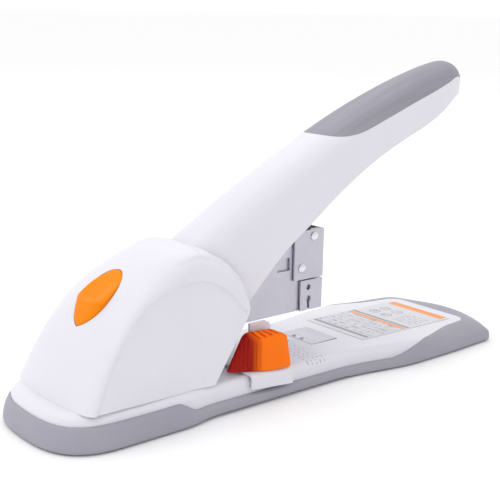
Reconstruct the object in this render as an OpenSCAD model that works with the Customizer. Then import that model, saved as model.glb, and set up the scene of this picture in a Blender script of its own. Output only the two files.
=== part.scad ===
// Heavy-duty desk stapler: a long lever over a pivoting staple head on a weighted base.
// +X runs from the rear to the front, +Z up, the middle plane is Y = 0.
// The origin is on the table, under the middle of the base.

/* [Base] */
// Length of the base, and of the whole stapler
base_len = 297; // [250:1:340]
// Width of the base at its widest, near the front
base_w = 87; // [80:1:100]
// Width of the base under the cover
rear_w = 77; // [74:1:90]
// Width of the base between the cover and the front
waist_w = 72; // [62:1:76]
// Width across the front corners
front_w = 84; // [70:1:86]
// Height of the deck at the rear
deck_rear_z = 17.2; // [15:0.1:22]
// Height of the deck at the front
deck_front_z = 12; // [10:0.1:14]
// Height of the tray's wall round the rear
tray_rear_h = 12.3; // [9:0.1:14]
// Height of the tray's wall along the waist
tray_waist_h = 6.5; // [5:0.1:8]
// Thickness of the tray's wall
tray_wall = 2.4; // [1.6:0.1:3]
// Thickness of the steel base plate
plate_t = 1.6; // [1:0.1:3]

/* [Cover] */
// Height of the cover above the table
cover_h = 80; // [76:1:92]
// Width of the cover where it meets the base
cover_w = 67; // [60:1:68]
// Width of the cover across its top
cover_top_w = 49; // [46:1:56]
// Wall of the cover
cover_wall = 2.4; // [1.5:0.1:3]
// Distance from the rear of the base to the cover
cover_rear = 12.5; // [8:0.5:16]

/* [Lever] */
// Distance from the rear of the base to the lever's pivot
pivot_back = 79.2; // [76:0.1:84]
// Height of the lever's pivot
pivot_z = 42; // [40:0.5:44]
// Distance from the lever's pivot to the tip of the handle
handle_reach = 210; // [180:1:212]
// Height of the handle's top above the pivot
handle_rise = 121; // [115:1:130]
// Width of the handle at its root
handle_w = 37; // [34:0.5:40]
// Width of the handle at its tip
tip_w = 29; // [24:0.5:34]
// Wall of the handle
handle_wall = 2; // [1.5:0.1:3]
// Diameter of the lever's pivot pin
pivot_pin_d = 8; // [6:0.5:10]
// Angle that the lever goes down
lever_travel = 24; // [20:1:26]

/* [Head] */
// Distance from the rear of the base to the head's pivot
head_back = 43.2; // [40:0.1:48]
// Height of the head's pivot
head_z = 21; // [20:0.5:26]
// Distance from the head's pivot to the front of the nose
nose_reach = 132.8; // [120:0.5:140]
// Height of the nose's underside
nose_z = 33.7; // [32:0.5:40]
// Height of the head's top
head_top_z = 77.5; // [74:0.5:84]
// Width between the head's side plates
channel_w = 15.6; // [15:0.1:17]
// Thickness of the head's sheet steel
sheet_t = 1.2; // [0.8:0.1:1.6]
// Diameter of the head's pivot pin
head_pin_d = 6; // [5:0.5:8]
// Width of a staple's crown
staple_w = 12.4; // [11:0.1:13]
// Length of a staple's leg
staple_leg = 15; // [10:1:17]

/* [Paper guide] */
// Distance from the rear of the base to the guide's front
guide_front = 133; // [131:0.5:136]
// Length of the guide along the base
guide_len = 26; // [22:0.5:28]
// Height of the guide's button above the deck
guide_h = 20; // [16:0.5:22]

/* [Fit] */
// Radial clearance of a running pin
run_gap = 0.06; // [0.02:0.01:0.1]
// Clearance between parts that slide or stand close
gap = 0.4; // [0.3:0.05:0.6]

/* [Hidden] */
$fn = 48;

white = [0.93, 0.92, 0.95];
grey = [0.61, 0.60, 0.65];
orange = [1, 0.5, 0.03];
steel = [0.75, 0.75, 0.79];
dark_steel = [0.42, 0.41, 0.42];

eps = 0.01;
rear_x = -base_len / 2;
front_x = base_len / 2;

function clamp01(t) = max(0, min(1, t));
function smooth(t) = let (c = clamp01(t)) c * c * (3 - 2 * c);
function mix(a, b, t) = a + (b - a) * t;
// A point of a cubic curve with four control points
function cubic(p, t) =
  pow(1 - t, 3) * p[0] + 3 * t * pow(1 - t, 2) * p[1] + 3 * t * t * (1 - t) * p[2] + pow(t, 3) * p[3];
function cubic_points(p, count) = [for (i = [0 : count]) cubic(p, i / count)];
function arc_points(centre, r, from, to, count) =
  [for (i = [0 : count]) let (a = mix(from, to, i / count)) centre + r * [cos(a), sin(a)]];

// A flat shape drawn in X and Z, and given its width along Y
module side_solid(width) {
  translate([0, width / 2, 0]) rotate([90, 0, 0]) linear_extrude(width) children();
}

// A round bar along Y
module cross_bar(d, width, at) {
  translate([at[0], width / 2, at[1]]) rotate([90, 0, 0]) cylinder(d = d, h = width);
}

// ---- outline of the base in plan ----

// Where the waist ends and the flare reaches its widest, from the rear
neck_start = pivot_back - 13;
neck_end = pivot_back + 7;
flare_start = base_len - 127;
flare_end = base_len - 75;
// Half of the base's width at a distance from the rear
function half_width(d) =
  d < neck_end ? mix(rear_w, waist_w, smooth((d - neck_start) / (neck_end - neck_start))) / 2
  : d < flare_end ? mix(waist_w, base_w, smooth((d - flare_start) / (flare_end - flare_start))) / 2
  : mix(base_w, front_w, smooth((d - flare_end) / (base_len - flare_end))) / 2;

// Rounded end of an outline: how far the edge falls back at a share of its half width
rear_depth = 34;
front_depth = 9;
front_bow = 4;
function round_end(share, depth, power) = depth * (1 - pow(1 - pow(share, power), 1 / power));
function rear_edge(share) = round_end(share, rear_depth, 2.8);
function front_edge(share) = round_end(share, front_depth, 3) + front_bow * share * share;
function end_shares(count) = [for (i = [0 : count]) sin(90 * i / count)];

// One side of the base's outline, from the rear round to the front, moved inwards by inset
function half_outline(inset) = let (w0 = rear_w / 2 - inset, w1 = front_w / 2 - inset) concat(
  [for (s = end_shares(12)) [rear_x + inset + rear_edge(s) * w0 / (rear_w / 2), w0 * s]],
  [for (i = [1 : 15]) let (d = mix(rear_depth + 6, base_len - 16, i / 15))
    [rear_x + d, half_width(d) - inset]],
  [for (s = end_shares(8)) let (q = sqrt(1 - s * s)) [front_x - inset - front_edge(q), w1 * q]]
);
function mirrored(points) = concat(points, [for (i = [len(points) - 2 : -1 : 1]) [points[i][0], -points[i][1]]]);

module base_outline(inset) {
  polygon(mirrored(half_outline(inset)));
}

// Height of the deck at a distance from the rear: one plane that falls to the front
deck_end = base_len - 25;
nose_edge_z = 8;
function deck_z(d) = d < deck_end
  ? mix(deck_rear_z, deck_front_z, d / deck_end)
  : mix(deck_front_z, nose_edge_z, pow((d - deck_end) / (base_len - deck_end), 1.4));
// Height of the tray's wall: high at the rear, an S down to the waist, then up over the front
wrap_start = base_len - 100;
wrap_end = base_len - 35;
function tray_z(d) = d < neck_end
  ? mix(tray_rear_h, tray_waist_h, smooth((d - neck_start + 6) / 14))
  : mix(tray_waist_h, deck_z(wrap_end), smooth((d - wrap_start) / (wrap_end - wrap_start)));
deck_line = [for (i = [0 : 12]) let (d = mix(0, base_len, i / 12)) [rear_x + d, deck_z(d)]];
tray_line = concat(
  [[rear_x, tray_z(0)]],
  [for (i = [0 : 8]) let (d = mix(neck_start - 6, neck_end - 6, i / 8)) [rear_x + d, tray_z(d)]],
  [for (i = [0 : 10]) let (d = mix(wrap_start, wrap_end, i / 10)) [rear_x + d, tray_z(d)]]
);
// The same points from the last to the first
function reversed(points) = [for (i = [len(points) - 1 : -1 : 0]) points[i]];
function raised(points, dz) = [for (p = points) [p[0], p[1] + dz]];

// The white plate's own outline inside the tray: it narrows under the front wrap
plate_inset = tray_wall + gap / 2;
plate_front = base_len - 18;
plate_corner_w = 2 * (front_w / 2 - 9);
function plate_half_w(d) = mix(half_width(d) - plate_inset, plate_corner_w / 2,
  smooth((d - wrap_end + 50) / 50));
function plate_outline(grow) = concat(
  [for (s = end_shares(12)) let (w0 = rear_w / 2 - plate_inset + grow)
    [rear_x + plate_inset - grow + rear_edge(s) * w0 / (rear_w / 2), w0 * s]],
  [for (i = [1 : 15]) let (d = mix(rear_depth + 6, plate_front - 9, i / 15))
    [rear_x + d, plate_half_w(d) + grow]],
  [for (a = [60, 30, 0]) [
    rear_x + plate_front - 8 + (8 + grow) * cos(a),
    plate_corner_w / 2 - 8 + (8 + grow) * sin(a)]]
);

module plate_shape(grow) {
  polygon(mirrored_open(plate_outline(grow)));
}
function mirrored_open(points) = concat(points, [for (i = [len(points) - 1 : -1 : 1]) [points[i][0], -points[i][1]]]);

foot_h = 1;
tray_floor_t = 2;
tray_floor_z = foot_h - 0.4;
floor_top = tray_floor_z + tray_floor_t;
plate_z = floor_top;
plate_top = plate_z + plate_t;

// ---- places along the stapler ----
pivot_x = rear_x + pivot_back;
pivot = [pivot_x, pivot_z];
head_x = rear_x + head_back;
head_pivot = [head_x, head_z];
nose_x = head_x + nose_reach;
blade_t = 1.4;
blade_x = nose_x - 6.2;
// Heights inside the head: the blade's rest, the rail's top, the rail's way out, the latch
driver_stroke = 20.6;
blade_low = nose_z + driver_stroke + 0.7;
rail_top = blade_low - 0.9;
mouth_z = blade_low + 1.1;
latch_low = rail_top - 3.2;
screw_spots = [for (x = [nose_x - 40, front_x - 40], y = [-1, 1]) [x, y * (waist_w / 2 - 9)]];
cover_screw_spots = [for (d = [cover_rear + 14, cover_rear + 62], y = [-1, 1]) [rear_x + d, y * (cover_w / 2 - 6)]];
boss_d = 6;
screw_d = 2.9;
screw_head_d = 5.4;

// ---- base ----

module base_body(low, inset = 0) {
  intersection() {
    translate([0, 0, low]) linear_extrude(40) base_outline(inset);
    children();
  }
}

module bottom_tray() color(grey) {
  difference() {
    intersection() {
      translate([0, 0, tray_floor_z]) linear_extrude(20) base_outline(0);
      side_solid(base_w + 10) polygon(concat(
        [[rear_x - 1, 0], [rear_x - 1, tray_z(0)]], tray_line,
        [for (p = deck_line) if (p[0] > rear_x + wrap_end) p], [[front_x + 1, nose_edge_z], [front_x + 1, 0]]));
    }
    translate([0, 0, floor_top]) linear_extrude(20) plate_shape(gap / 2);
    for (p = concat(screw_spots, cover_screw_spots)) translate([p[0], p[1], 0]) {
      cylinder(d = screw_d + 0.5, h = 10);
      cylinder(d = screw_head_d + 0.5, h = floor_top - 0.8);
    }
  }
}

module base_plate() color(steel) {
  difference() {
    translate([0, 0, plate_z]) linear_extrude(plate_t) plate_shape(-0.6);
    for (p = concat(screw_spots, cover_screw_spots)) translate([p[0], p[1], 0]) cylinder(d = screw_d + 0.5, h = 10);
  }
}

// The opening in the deck that the pivot bracket stands in
bracket_t = 2;
bracket_in = channel_w / 2 + sheet_t + 2.5;
bracket_out = bracket_in + bracket_t;
bracket_rear = head_back - 13;
bracket_front = pivot_back + 10;
skin = 2;

module base_cover() color(white) {
  difference() {
    union() {
      cover_plate();
      for (p = screw_spots) translate([p[0], p[1], plate_top])
        cylinder(d = boss_d, h = deck_z(p[0] - rear_x) - plate_top - 1);
    }
    for (p = screw_spots) translate([p[0], p[1], 0]) cylinder(d = screw_d, h = plate_top + 5);
  }
}

module cover_plate() {
  difference() {
    union() {
      intersection() {
        translate([0, 0, plate_top]) linear_extrude(30) plate_shape(0);
        deck_block(0);
      }
      // the walls above the tray's edge, stepped in round the rear
      for (step = [[0.2, -3.4], [1.4, -1.8], [3, 0]]) intersection() {
        linear_extrude(30) base_outline(step[0]);
        deck_block(step[1]);
        side_solid(base_w + 10) polygon(concat(
          raised(tray_line, 0.15), [[rear_x + wrap_end, 40], [rear_x, 40]]));
      }
    }
    // hollow underneath
    intersection() {
      translate([0, 0, plate_top - eps]) linear_extrude(30) plate_shape(-skin);
      deck_block(-skin - 1.8);
    }
    translate([rear_x + bracket_rear - gap, -bracket_out - gap, 0])
      cube([bracket_front - bracket_rear + 2 * gap, 2 * (bracket_out + gap), 40]);
    for (p = cover_screw_spots) translate([p[0], p[1], 0]) cylinder(d = boss_d + 2 * gap, h = 40);
    translate([anvil_x - anvil_l / 2 - 0.1, -anvil_w / 2 - 0.1, anvil_z - anvil_t - 0.1])
      cube([anvil_l + 0.2, anvil_w + 0.2, 10]);
  }
}

// Everything below the deck's plane, moved up or down
module deck_block(dz) {
  side_solid(base_w + 10) polygon(concat(
    [[front_x, -1], [rear_x, -1]], raised(deck_line, dz)));
}

module rubber_feet() color(dark_steel) {
  for (d = [46, base_len - 30]) translate([rear_x + d - 6, -24, 0]) cube([12, 48, foot_h - 0.4]);
}

module screw(head_z0, tip_z) {
  translate([0, 0, head_z0]) cylinder(d = screw_head_d, h = 1);
  translate([0, 0, head_z0]) cylinder(d = screw_d, h = tip_z - head_z0);
}

module base_screws() color(steel) {
  for (p = screw_spots) translate([p[0], p[1], 0]) screw(floor_top - 1.8, plate_top + 5 - 0.2);
}

anvil_l = 19;
anvil_w = 25;
anvil_t = 2;
anvil_x = blade_x + 7.7;
anvil_z = deck_z(anvil_x - rear_x) + 0.3;
module anvil_plate() color(steel) {
  difference() {
    translate([anvil_x - anvil_l / 2, -anvil_w / 2, anvil_z - anvil_t]) cube([anvil_l, anvil_w, anvil_t]);
    for (y = [-1, 1]) translate([blade_x + 1.2, y * staple_w / 4, anvil_z + 3.4])
      rotate([90, 0, 0]) translate([0, 0, -2.3]) cylinder(r = 4, h = 4.6);
  }
}

label_rear = anvil_x + anvil_l / 2 + 10 - rear_x;
label_len = base_len - 26 - label_rear;
label_w = 46;
label_t = 0.25;
module scale_label() color([0.97, 0.97, 0.98]) {
  difference() {
    translate([rear_x + label_rear, -label_w / 2, 0]) cube([label_len, label_w, 30]);
    deck_block(0.02);
    translate([0, 0, 0]) mirror([0, 0, 0]) side_solid(base_w) polygon(concat(
      [[front_x, 60], [rear_x, 60]], raised(deck_line, 0.02 + label_t)));
  }
}

// ---- pivot bracket and pins ----

module bracket_side() {
  translate(head_pivot) circle(r = head_pin_d / 2 + 5);
  translate(pivot) circle(r = pivot_pin_d / 2 + 5);
  polygon([
    [rear_x + bracket_rear, plate_top], [rear_x + bracket_front, plate_top],
    [pivot_x + pivot_pin_d / 2 + 5, pivot_z], [pivot_x, pivot_z + pivot_pin_d / 2 + 5],
    [latch_x + 5, latch_z - 3], [latch_x - 3, latch_z - 2], [pivot_x - pivot_pin_d / 2 - 4, pivot_z + 2],
    [head_x, head_z + head_pin_d / 2 + 5], [head_x - head_pin_d / 2 - 5, head_z]]);
  translate([latch_x, latch_z]) circle(r = 5);
}

module pivot_bracket() color(steel) {
  difference() {
    union() {
      for (y = [-1, 1]) translate([0, y * (bracket_in + bracket_t / 2), 0]) side_solid(bracket_t) bracket_side();
      translate([rear_x + bracket_rear, -bracket_out, plate_top])
        cube([bracket_front - bracket_rear, 2 * bracket_out, bracket_t]);
    }
    cross_bar(pivot_pin_d, 60, pivot);
    cross_bar(head_pin_d, 60, head_pivot);
    cross_bar(latch_pin_d, 60, [latch_x, latch_z]);
  }
}

core_t = 1.6;
core_in = bracket_out + 0.8;
core_out = core_in + core_t;
clip_t = 0.6;
module lever_pin() color(steel) {
  cross_bar(pivot_pin_d, 2 * (core_out + clip_t + 0.4), pivot);
}
module head_pin() color(steel) {
  cross_bar(head_pin_d, 2 * (bracket_out + 0.2), head_pivot);
}
latch_pin_d = 4;
latch_x = pivot_x - 11;
latch_z = pivot_z + 19;
module latch_pin() color(steel) {
  cross_bar(latch_pin_d, 2 * bracket_out, [latch_x, latch_z]);
}
module pin_clips() color(dark_steel) {
  for (y = [-1, 1]) translate([0, y * (core_out + 0.1 + clip_t / 2), 0]) difference() {
    cross_bar(pivot_pin_d + 4, clip_t, pivot);
    cross_bar(pivot_pin_d, clip_t + 1, pivot);
  }
}

// ---- rear cover ----

// The cover's rounded front is an arc about the lever's pivot
cover_r = cover_h - pivot_z;
cover_base_z = deck_rear_z + 0.1;
slope_foot = pivot_x + 9;
cover_curve = cubic_points([
  [rear_x + cover_rear, cover_base_z], [rear_x + cover_rear + 12.5, cover_base_z + 26],
  [rear_x + cover_rear + 33.5, cover_h], [pivot_x + 1, cover_h]], 14);
module cover_side() {
  polygon(concat(cover_curve, arc_points(pivot, cover_r, 84, -4, 14),
    [[slope_foot, cover_base_z]]));
}

// Half of the cover's width at a height, straight walls that lean in to a rounded top
module cover_front(inset) {
  w0 = cover_w / 2 - inset;
  w1 = cover_top_w / 2 - inset;
  shoulder = cover_h - 13;
  polygon(concat(
    [[-w0, 0], [w0, 0], [w0, cover_base_z]],
    [for (a = [0 : 15 : 90]) [
      mix(w0, w1, 0.8) - 10 * (1 - cos(a)), mix(shoulder, cover_h - inset - 1.5, sin(a))]],
    [[0, cover_h - inset]],
    [for (a = [90 : -15 : 0]) [
      -mix(w0, w1, 0.8) + 10 * (1 - cos(a)), mix(shoulder, cover_h - inset - 1.5, sin(a))]],
    [[-w0, cover_base_z]]));
}

cover_end_depth = 22;
module cover_plan(inset) {
  w0 = cover_w / 2 - inset;
  right = concat(
    [for (s = end_shares(10)) [rear_x + cover_rear + inset + round_end(s, cover_end_depth, 3), w0 * s]],
    [[pivot_x + cover_r + 5, w0 - 2]]);
  polygon(mirrored_open(right));
}

module cover_solid(inset) {
  intersection() {
    side_solid(cover_w + 10) offset(delta = -inset) cover_side();
    rotate([90, 0, 90]) translate([0, 0, rear_x]) linear_extrude(base_len) cover_front(inset);
    linear_extrude(cover_h + 5) cover_plan(inset);
  }
}

slot_half = handle_w / 2 + 2 * gap;
lip_x = 4;
button_axis = [-sin(45), cos(45)];
button_centre = [rear_x + cover_rear + 31, cover_h - 20.5];
button_w = 22;
button_l = 32;

module button_place() {
  translate([button_centre[0], 0, button_centre[1]]) rotate([0, -45, 0]) children();
}

// A leaf outline, pointed to the top and the bottom
module leaf(w, l) {
  scale_r = (l * l / 4 + w * w / 4) / w;
  intersection_for (side = [-1, 1]) translate([0, side * (scale_r - w / 2)]) circle(r = scale_r, $fn = 96);
}

module rear_cover() color(white) {
  difference() {
    cover_solid(0);
    difference() {
      cover_solid(cover_wall);
      for (p = cover_screw_spots) translate([p[0], p[1], 0]) cylinder(d = boss_d, h = cover_base_z + 12);
    }
    // open underneath
    translate([0, 0, cover_base_z - 5 + eps]) linear_extrude(6 + cover_wall) intersection() {
      cover_plan(cover_wall);
      translate([rear_x, -cover_w]) square([slope_foot - rear_x - 2.5, 2 * cover_w]);
    }
    // slot that the lever works in
    translate([pivot_x + lip_x, -slot_half, 0]) cube([60, 2 * slot_half, cover_h + 10]);
    button_place() translate([0, 0, -12]) linear_extrude(30) leaf(button_w + 2 * gap, button_l + 2 * gap);
    for (p = cover_screw_spots) translate([p[0], p[1], 0]) cylinder(d = screw_d, h = cover_base_z + 8);
  }
  for (p = cover_screw_spots) translate([p[0], p[1], plate_top]) difference() {
    cylinder(d = boss_d, h = cover_base_z + 3 - plate_top);
    translate([0, 0, -1]) cylinder(d = screw_d, h = 40);
  }
}

module cover_screws() color(steel) {
  for (p = cover_screw_spots) translate([p[0], p[1], 0]) screw(floor_top - 1.8, cover_base_z + 2);
}

// ---- release button and latch ----

button_travel = 3;
module release_button() color(orange) {
  button_place() {
    difference() {
      translate([0, 0, -3]) linear_extrude(7.5) leaf(button_w, button_l);
      translate([9, 0, 16]) rotate([90, 0, 0]) translate([0, 0, -button_w]) cylinder(r = 14, h = 2 * button_w);
    }
    translate([0, 0, -11]) cylinder(d = 5, h = 9);
  }
}

module latch_lever() color(steel) {
  difference() {
    union() {
      cross_bar(9, 8, [latch_x, latch_z]);
      side_solid(6) polygon([
        [latch_x - 16, latch_z - 8.4], [latch_x - 13, latch_z - 11], [latch_x, latch_z - 4],
        [latch_x + 19, latch_z - 4], [latch_x + 20.4, latch_low], [latch_x + 23, latch_low + 2.5],
        [latch_x + 23, latch_z], [latch_x, latch_z + 4]]);
    }
    cross_bar(latch_pin_d + 2 * run_gap, 20, [latch_x, latch_z]);
  }
}

// ---- springs ----

// A coil along +Z: a six-sided wire swept round a helix, closed at both ends
module coil(d, length, turns, wire) {
  per_turn = 12;
  sides = 6;
  steps = turns * per_turn;
  points = [for (i = [0 : steps], k = [0 : sides - 1]) let (
    a = 360 * i / per_turn, b = 360 * k / sides,
    r = d / 2 - wire / 2 + cos(b) * wire / 2)
    [r * cos(a), r * sin(a), wire / 2 + (length - wire) * i / steps + sin(b) * wire / 2]];
  walls = [for (i = [0 : steps - 1], k = [0 : sides - 1]) let (n = (k + 1) % sides)
    [i * sides + k, (i + 1) * sides + k, (i + 1) * sides + n, i * sides + n]];
  ends = [[for (k = [0 : sides - 1]) k], [for (k = [sides - 1 : -1 : 0]) steps * sides + k]];
  polyhedron(points, concat(walls, ends), convexity = 4);
}

lift_spring_x = head_x + 17;
lift_spring_top = arm_bottom(17) - 0.1;
module head_lift_spring() color(steel) {
  translate([lift_spring_x, 0, plate_top + bracket_t + 0.1])
    coil(11, lift_spring_top - plate_top - bracket_t - 0.1, 5, 1.2);
}

module button_spring() color(steel) {
  button_place() translate([0, 0, -10.5]) coil(8.4, 7.2, 4, 0.8);
}

// ---- lever ----

// The top of the handle: a straight run off a drum about the pivot, then a long curve to the tip
handle_tip = pivot_x + handle_reach;
handle_top = pivot_z + handle_rise;
root_angle = 28.5;
drum_r = 30.5;
drum_point = pivot + drum_r * [-sin(root_angle), cos(root_angle)];
run_end = drum_point + 84 * [cos(root_angle), sin(root_angle)];
top_curve = cubic_points([
  run_end, run_end + 45 * [cos(root_angle), sin(root_angle)],
  [handle_tip - 54, handle_top - 7.5], [handle_tip - 13, handle_top]], 14);
tip_curve = cubic_points([
  [handle_tip - 13, handle_top], [handle_tip - 5, handle_top - 1],
  [handle_tip, handle_top - 9], [handle_tip, handle_top - 16]], 5);
low_curve = cubic_points([
  [pivot_x + 32, pivot_z - 1], pivot + [70, 36], pivot + [110, 66],
  [handle_tip - 53, handle_top - 40]], 12);
low_tip = cubic_points([
  [handle_tip - 53, handle_top - 40], [handle_tip - 30, handle_top - 33],
  [handle_tip - 12, handle_top - 22], [handle_tip, handle_top - 17.5]], 5);
cheek_r = 21;
handle_outline = concat(
  [drum_point], top_curve, tip_curve, reversed(low_tip), reversed(low_curve));

module handle_side() {
  polygon(handle_outline);
  translate(pivot) circle(r = cheek_r);
  polygon([pivot + [-cheek_r, 0], drum_point, pivot + [32, -1], pivot + [0.4, 0.4 - cheek_r]]);
}

// The handle seen from above: it narrows towards a rounded tip
module handle_plan(inset) {
  w0 = handle_w / 2 - inset;
  w1 = tip_w / 2 - inset;
  narrow_from = handle_tip - 110;
  polygon(concat(
    [[pivot_x - 40, w0], [narrow_from, w0]],
    arc_points([handle_tip - inset - w1, 0], w1, 80, -80, 12),
    [[narrow_from, -w0], [pivot_x - 40, -w0]]));
}

module handle_block(inset) {
  intersection() {
    side_solid(handle_w) children();
    linear_extrude(handle_top + 5) handle_plan(inset);
  }
}

grip_rear = handle_tip - 117;
// The grip's lower edge in side view
grip_edge = cubic_points([
  [grip_rear, handle_top - 36], [grip_rear + 28, handle_top - 38],
  [handle_tip - 48, handle_top - 25], [handle_tip + 1, handle_top - 12]], 8);
module grip_zone(drop) {
  polygon(concat(raised(grip_edge, -drop), [[handle_tip + 1, handle_top + 5], [grip_rear, handle_top + 5]]));
}
grip_t = 2.2;

module handle_shell() color(white) {
  difference() {
    handle_block(0) difference() {
      handle_side();
      grip_zone(0.05);
    }
    // hollow, open underneath
    handle_block(handle_wall) difference() {
      polygon(concat(
        [drum_point + [handle_wall, -handle_wall]],
        raised(top_curve, -handle_wall - 0.3), [[handle_tip - 8, handle_top - 8]],
        [[handle_tip - 10, handle_top - 30], [handle_tip - 60, handle_top - 60],
        pivot + [60, -40], pivot + [-60, -40]]));
      grip_floor();
    }
    cross_bar(pivot_pin_d + 8, 2 * handle_w, pivot);
    // the rear is open so that the latch can be reached
    translate([pivot_x - 60, -handle_w / 2 + handle_wall, pivot_z - 40]) cube([60.3, handle_w - 2 * handle_wall, 62]);
    translate([pivot_x - 60, -handle_w / 2 + handle_wall, pivot_z]) cube([48, handle_w - 2 * handle_wall, 40]);
    // a step down where the top goes in under the cover
    side_solid(handle_w + 2) difference() {
      translate([pivot_x - 40, pivot_z]) square([40 + lip_x + gap, 60]);
      translate(pivot) circle(r = cover_r - cover_wall - 3.2);
    }
  }
}

// The shelf under the grip insert
module grip_floor() {
  polygon(concat(raised(grip_edge, 1), reversed(raised(grip_edge, -grip_t))));
}

module grip_insert() color(grey) {
  difference() {
    handle_block(0) intersection() {
      handle_side();
      grip_zone(0);
    }
    handle_block(grip_t) intersection() {
      translate([0, -grip_t]) handle_side();
      grip_zone(-eps);
    }
  }
}

// Steel channel inside the handle, which carries the load
core_end = pivot_x + 100;
core_drop = handle_wall + 1.5;
module lever_core() color(steel) {
  difference() {
    union() {
      for (y = [-1, 1]) translate([0, y * (core_in + core_t / 2), 0]) side_solid(core_t) {
        translate(pivot) circle(r = pivot_pin_d / 2 + 6);
        polygon([
          pivot + [-4, pivot_pin_d / 2 + 5], pivot + [5, -9], pivot + [80, 47],
          [core_end, pivot_z + 63], [core_end, pivot_z + 77], core_line(84), core_line(30)]);
      }
      // the web that joins the two sides
      side_solid(2 * core_in + 0.2) polygon([
        core_line(40), core_line(84), core_line(84) + [0.8, -1.6], core_line(40) + [0.8, -1.6]]);
    }
    cross_bar(pivot_pin_d + 2 * run_gap, 60, pivot);
    cross_bar(driver_pin_d, 60, driver_at);
    for (p = lever_screw_spots) cross_bar(screw_d, 60, p);
  }
}
// A point on the line just inside the handle's straight run
function core_line(along) = drum_point + along * [cos(root_angle), sin(root_angle)]
  + core_drop * [sin(root_angle), -cos(root_angle)];

driver_pin_d = 5;
driver_at = pivot + [84.3, 62];
module driver_pin() color(steel) {
  cross_bar(driver_pin_d, 2 * core_out, driver_at);
}

lever_screw_spots = [pivot + [42, 34], pivot + [94, 68]];
module lever_screws() color(steel) {
  for (p = lever_screw_spots, y = [-1, 1])
    translate([0, y * (core_out + core_in) / 2, 0]) cross_bar(screw_d, core_t, p);
}

// ---- head ----

side_in = channel_w / 2;
side_out = side_in + sheet_t;
nose_step = 51;
head_front = nose_x - 4.8;
// Underside of the arm that runs back to the head's pivot, at a distance in front of it
function arm_bottom(dx) = mix(head_z - 3, nose_z, clamp01(dx / 50));
arm_top_z = pivot_z - pivot_pin_d / 2 - 2;
rise_x = pivot_x + 12;

module head_side() {
  difference() {
    union() {
      translate(head_pivot) circle(r = head_pin_d / 2 + 3);
      polygon([
        [head_x, head_z - 6], [head_x + 50, nose_z], [head_front, nose_z], [head_front, nose_step],
        [nose_x - 1.4, nose_step], [nose_x - 1.4, head_top_z], [nose_x - 34, head_top_z],
        [rise_x + 12, nose_z + 25], [rise_x, nose_z + 20], [rise_x, arm_top_z],
        [head_x + 14, arm_top_z], [head_x, head_z + 6]]);
    }
    translate([nose_x - 31, 57]) square([8.8, 7]);
  }
}

module head_frame() color(steel) {
  difference() {
    for (y = [-1, 1]) translate([0, y * (side_in + sheet_t / 2), 0]) side_solid(sheet_t) head_side();
    cross_bar(head_pin_d + 2 * run_gap, 60, head_pivot);
    for (p = rivet_spots) cross_bar(rivet_d, 60, p);
  }
}

// Cross pieces that hold the two side plates apart
web_z = nose_z + 22.4;
module head_web() color(steel) {
  translate([rise_x + 8, -side_in, web_z]) cube([blade_x - rise_x - 10, channel_w, sheet_t]);
  translate([blade_x - 3.6, -side_in, web_z]) cube([2.4, channel_w, head_top_z - web_z - 1]);
  translate([blade_x + blade_t + 0.5, -side_in, mouth_z])
    cube([nose_x - 1.5 - blade_x - blade_t - 0.5, channel_w, head_top_z - mouth_z - 1]);
  translate([head_x + 11, -side_in, arm_bottom(17)]) cube([12, channel_w, 2]);
}

// Riveted cover round the upper front of the head
cover_gap = 0.3;
module front_cover() color(steel) {
  difference() {
    translate([nose_x - 20.3, -side_out - cover_gap - sheet_t, nose_step])
      cube([20.8, 2 * (side_out + cover_gap + sheet_t), head_top_z - nose_step]);
    translate([nose_x - 25, -side_out - cover_gap, nose_step - 1])
      cube([25 - 0.7, 2 * (side_out + cover_gap), head_top_z]);
    translate([nose_x - 5, -side_out - cover_gap, nose_step - 1])
      cube([10, 2 * (side_out + cover_gap), mouth_z - nose_step + 1]);
    for (p = rivet_spots) cross_bar(rivet_d, 60, p);
  }
}
rivet_d = 2.4;
rivet_spots = [[nose_x - 15, nose_step + 6.2], [nose_x - 6.6, head_top_z - 3.7]];
module cover_rivets() color(steel) {
  for (p = rivet_spots, y = [-1, 1]) translate([0, y * (side_out + cover_gap), 0]) {
    cross_bar(rivet_d, 2 * (sheet_t + 0.3), p);
    translate([0, y * (sheet_t + 0.45), 0]) cross_bar(3.6, 0.9, p);
  }
}

lever_spring_x = rise_x + 29;
module lever_spring() color(steel) {
  translate([lever_spring_x, 0, web_z + sheet_t + 0.1]) coil(10, lever_spring_len, 6, 1.1);
}
lever_spring_len = drum_point[1] + (lever_spring_x - drum_point[0]) * tan(root_angle)
  - (core_drop + 1.8) / cos(root_angle) - web_z - sheet_t - 4;

// ---- driver ----

block_low = head_top_z + driver_stroke + 0.6;
module driver_blade() color(dark_steel) {
  translate([blade_x - blade_t / 2 + 0.7, -staple_w / 2 + 0.2, blade_low])
    cube([blade_t, staple_w - 0.4, block_low - blade_low]);
}
// The block on top of the blade, with a slot that the driver pin slides along
slot_rise = driver_pin_d + 1.8;
block_top = driver_at[1] + slot_rise / 2 + 2;
module driver_block() color(steel) {
  difference() {
    translate([driver_at[0] - 6, -5.4, block_low]) cube([22.2, 10.8, block_top - block_low]);
    translate([0, 6, 0]) rotate([90, 0, 0]) translate([0, 0, -1]) linear_extrude(14)
      translate([driver_at[0] - 3.4, driver_at[1] - slot_rise / 2 + 0.2]) square([17.2, slot_rise]);
  }
}

// ---- staple rail ----

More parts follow.
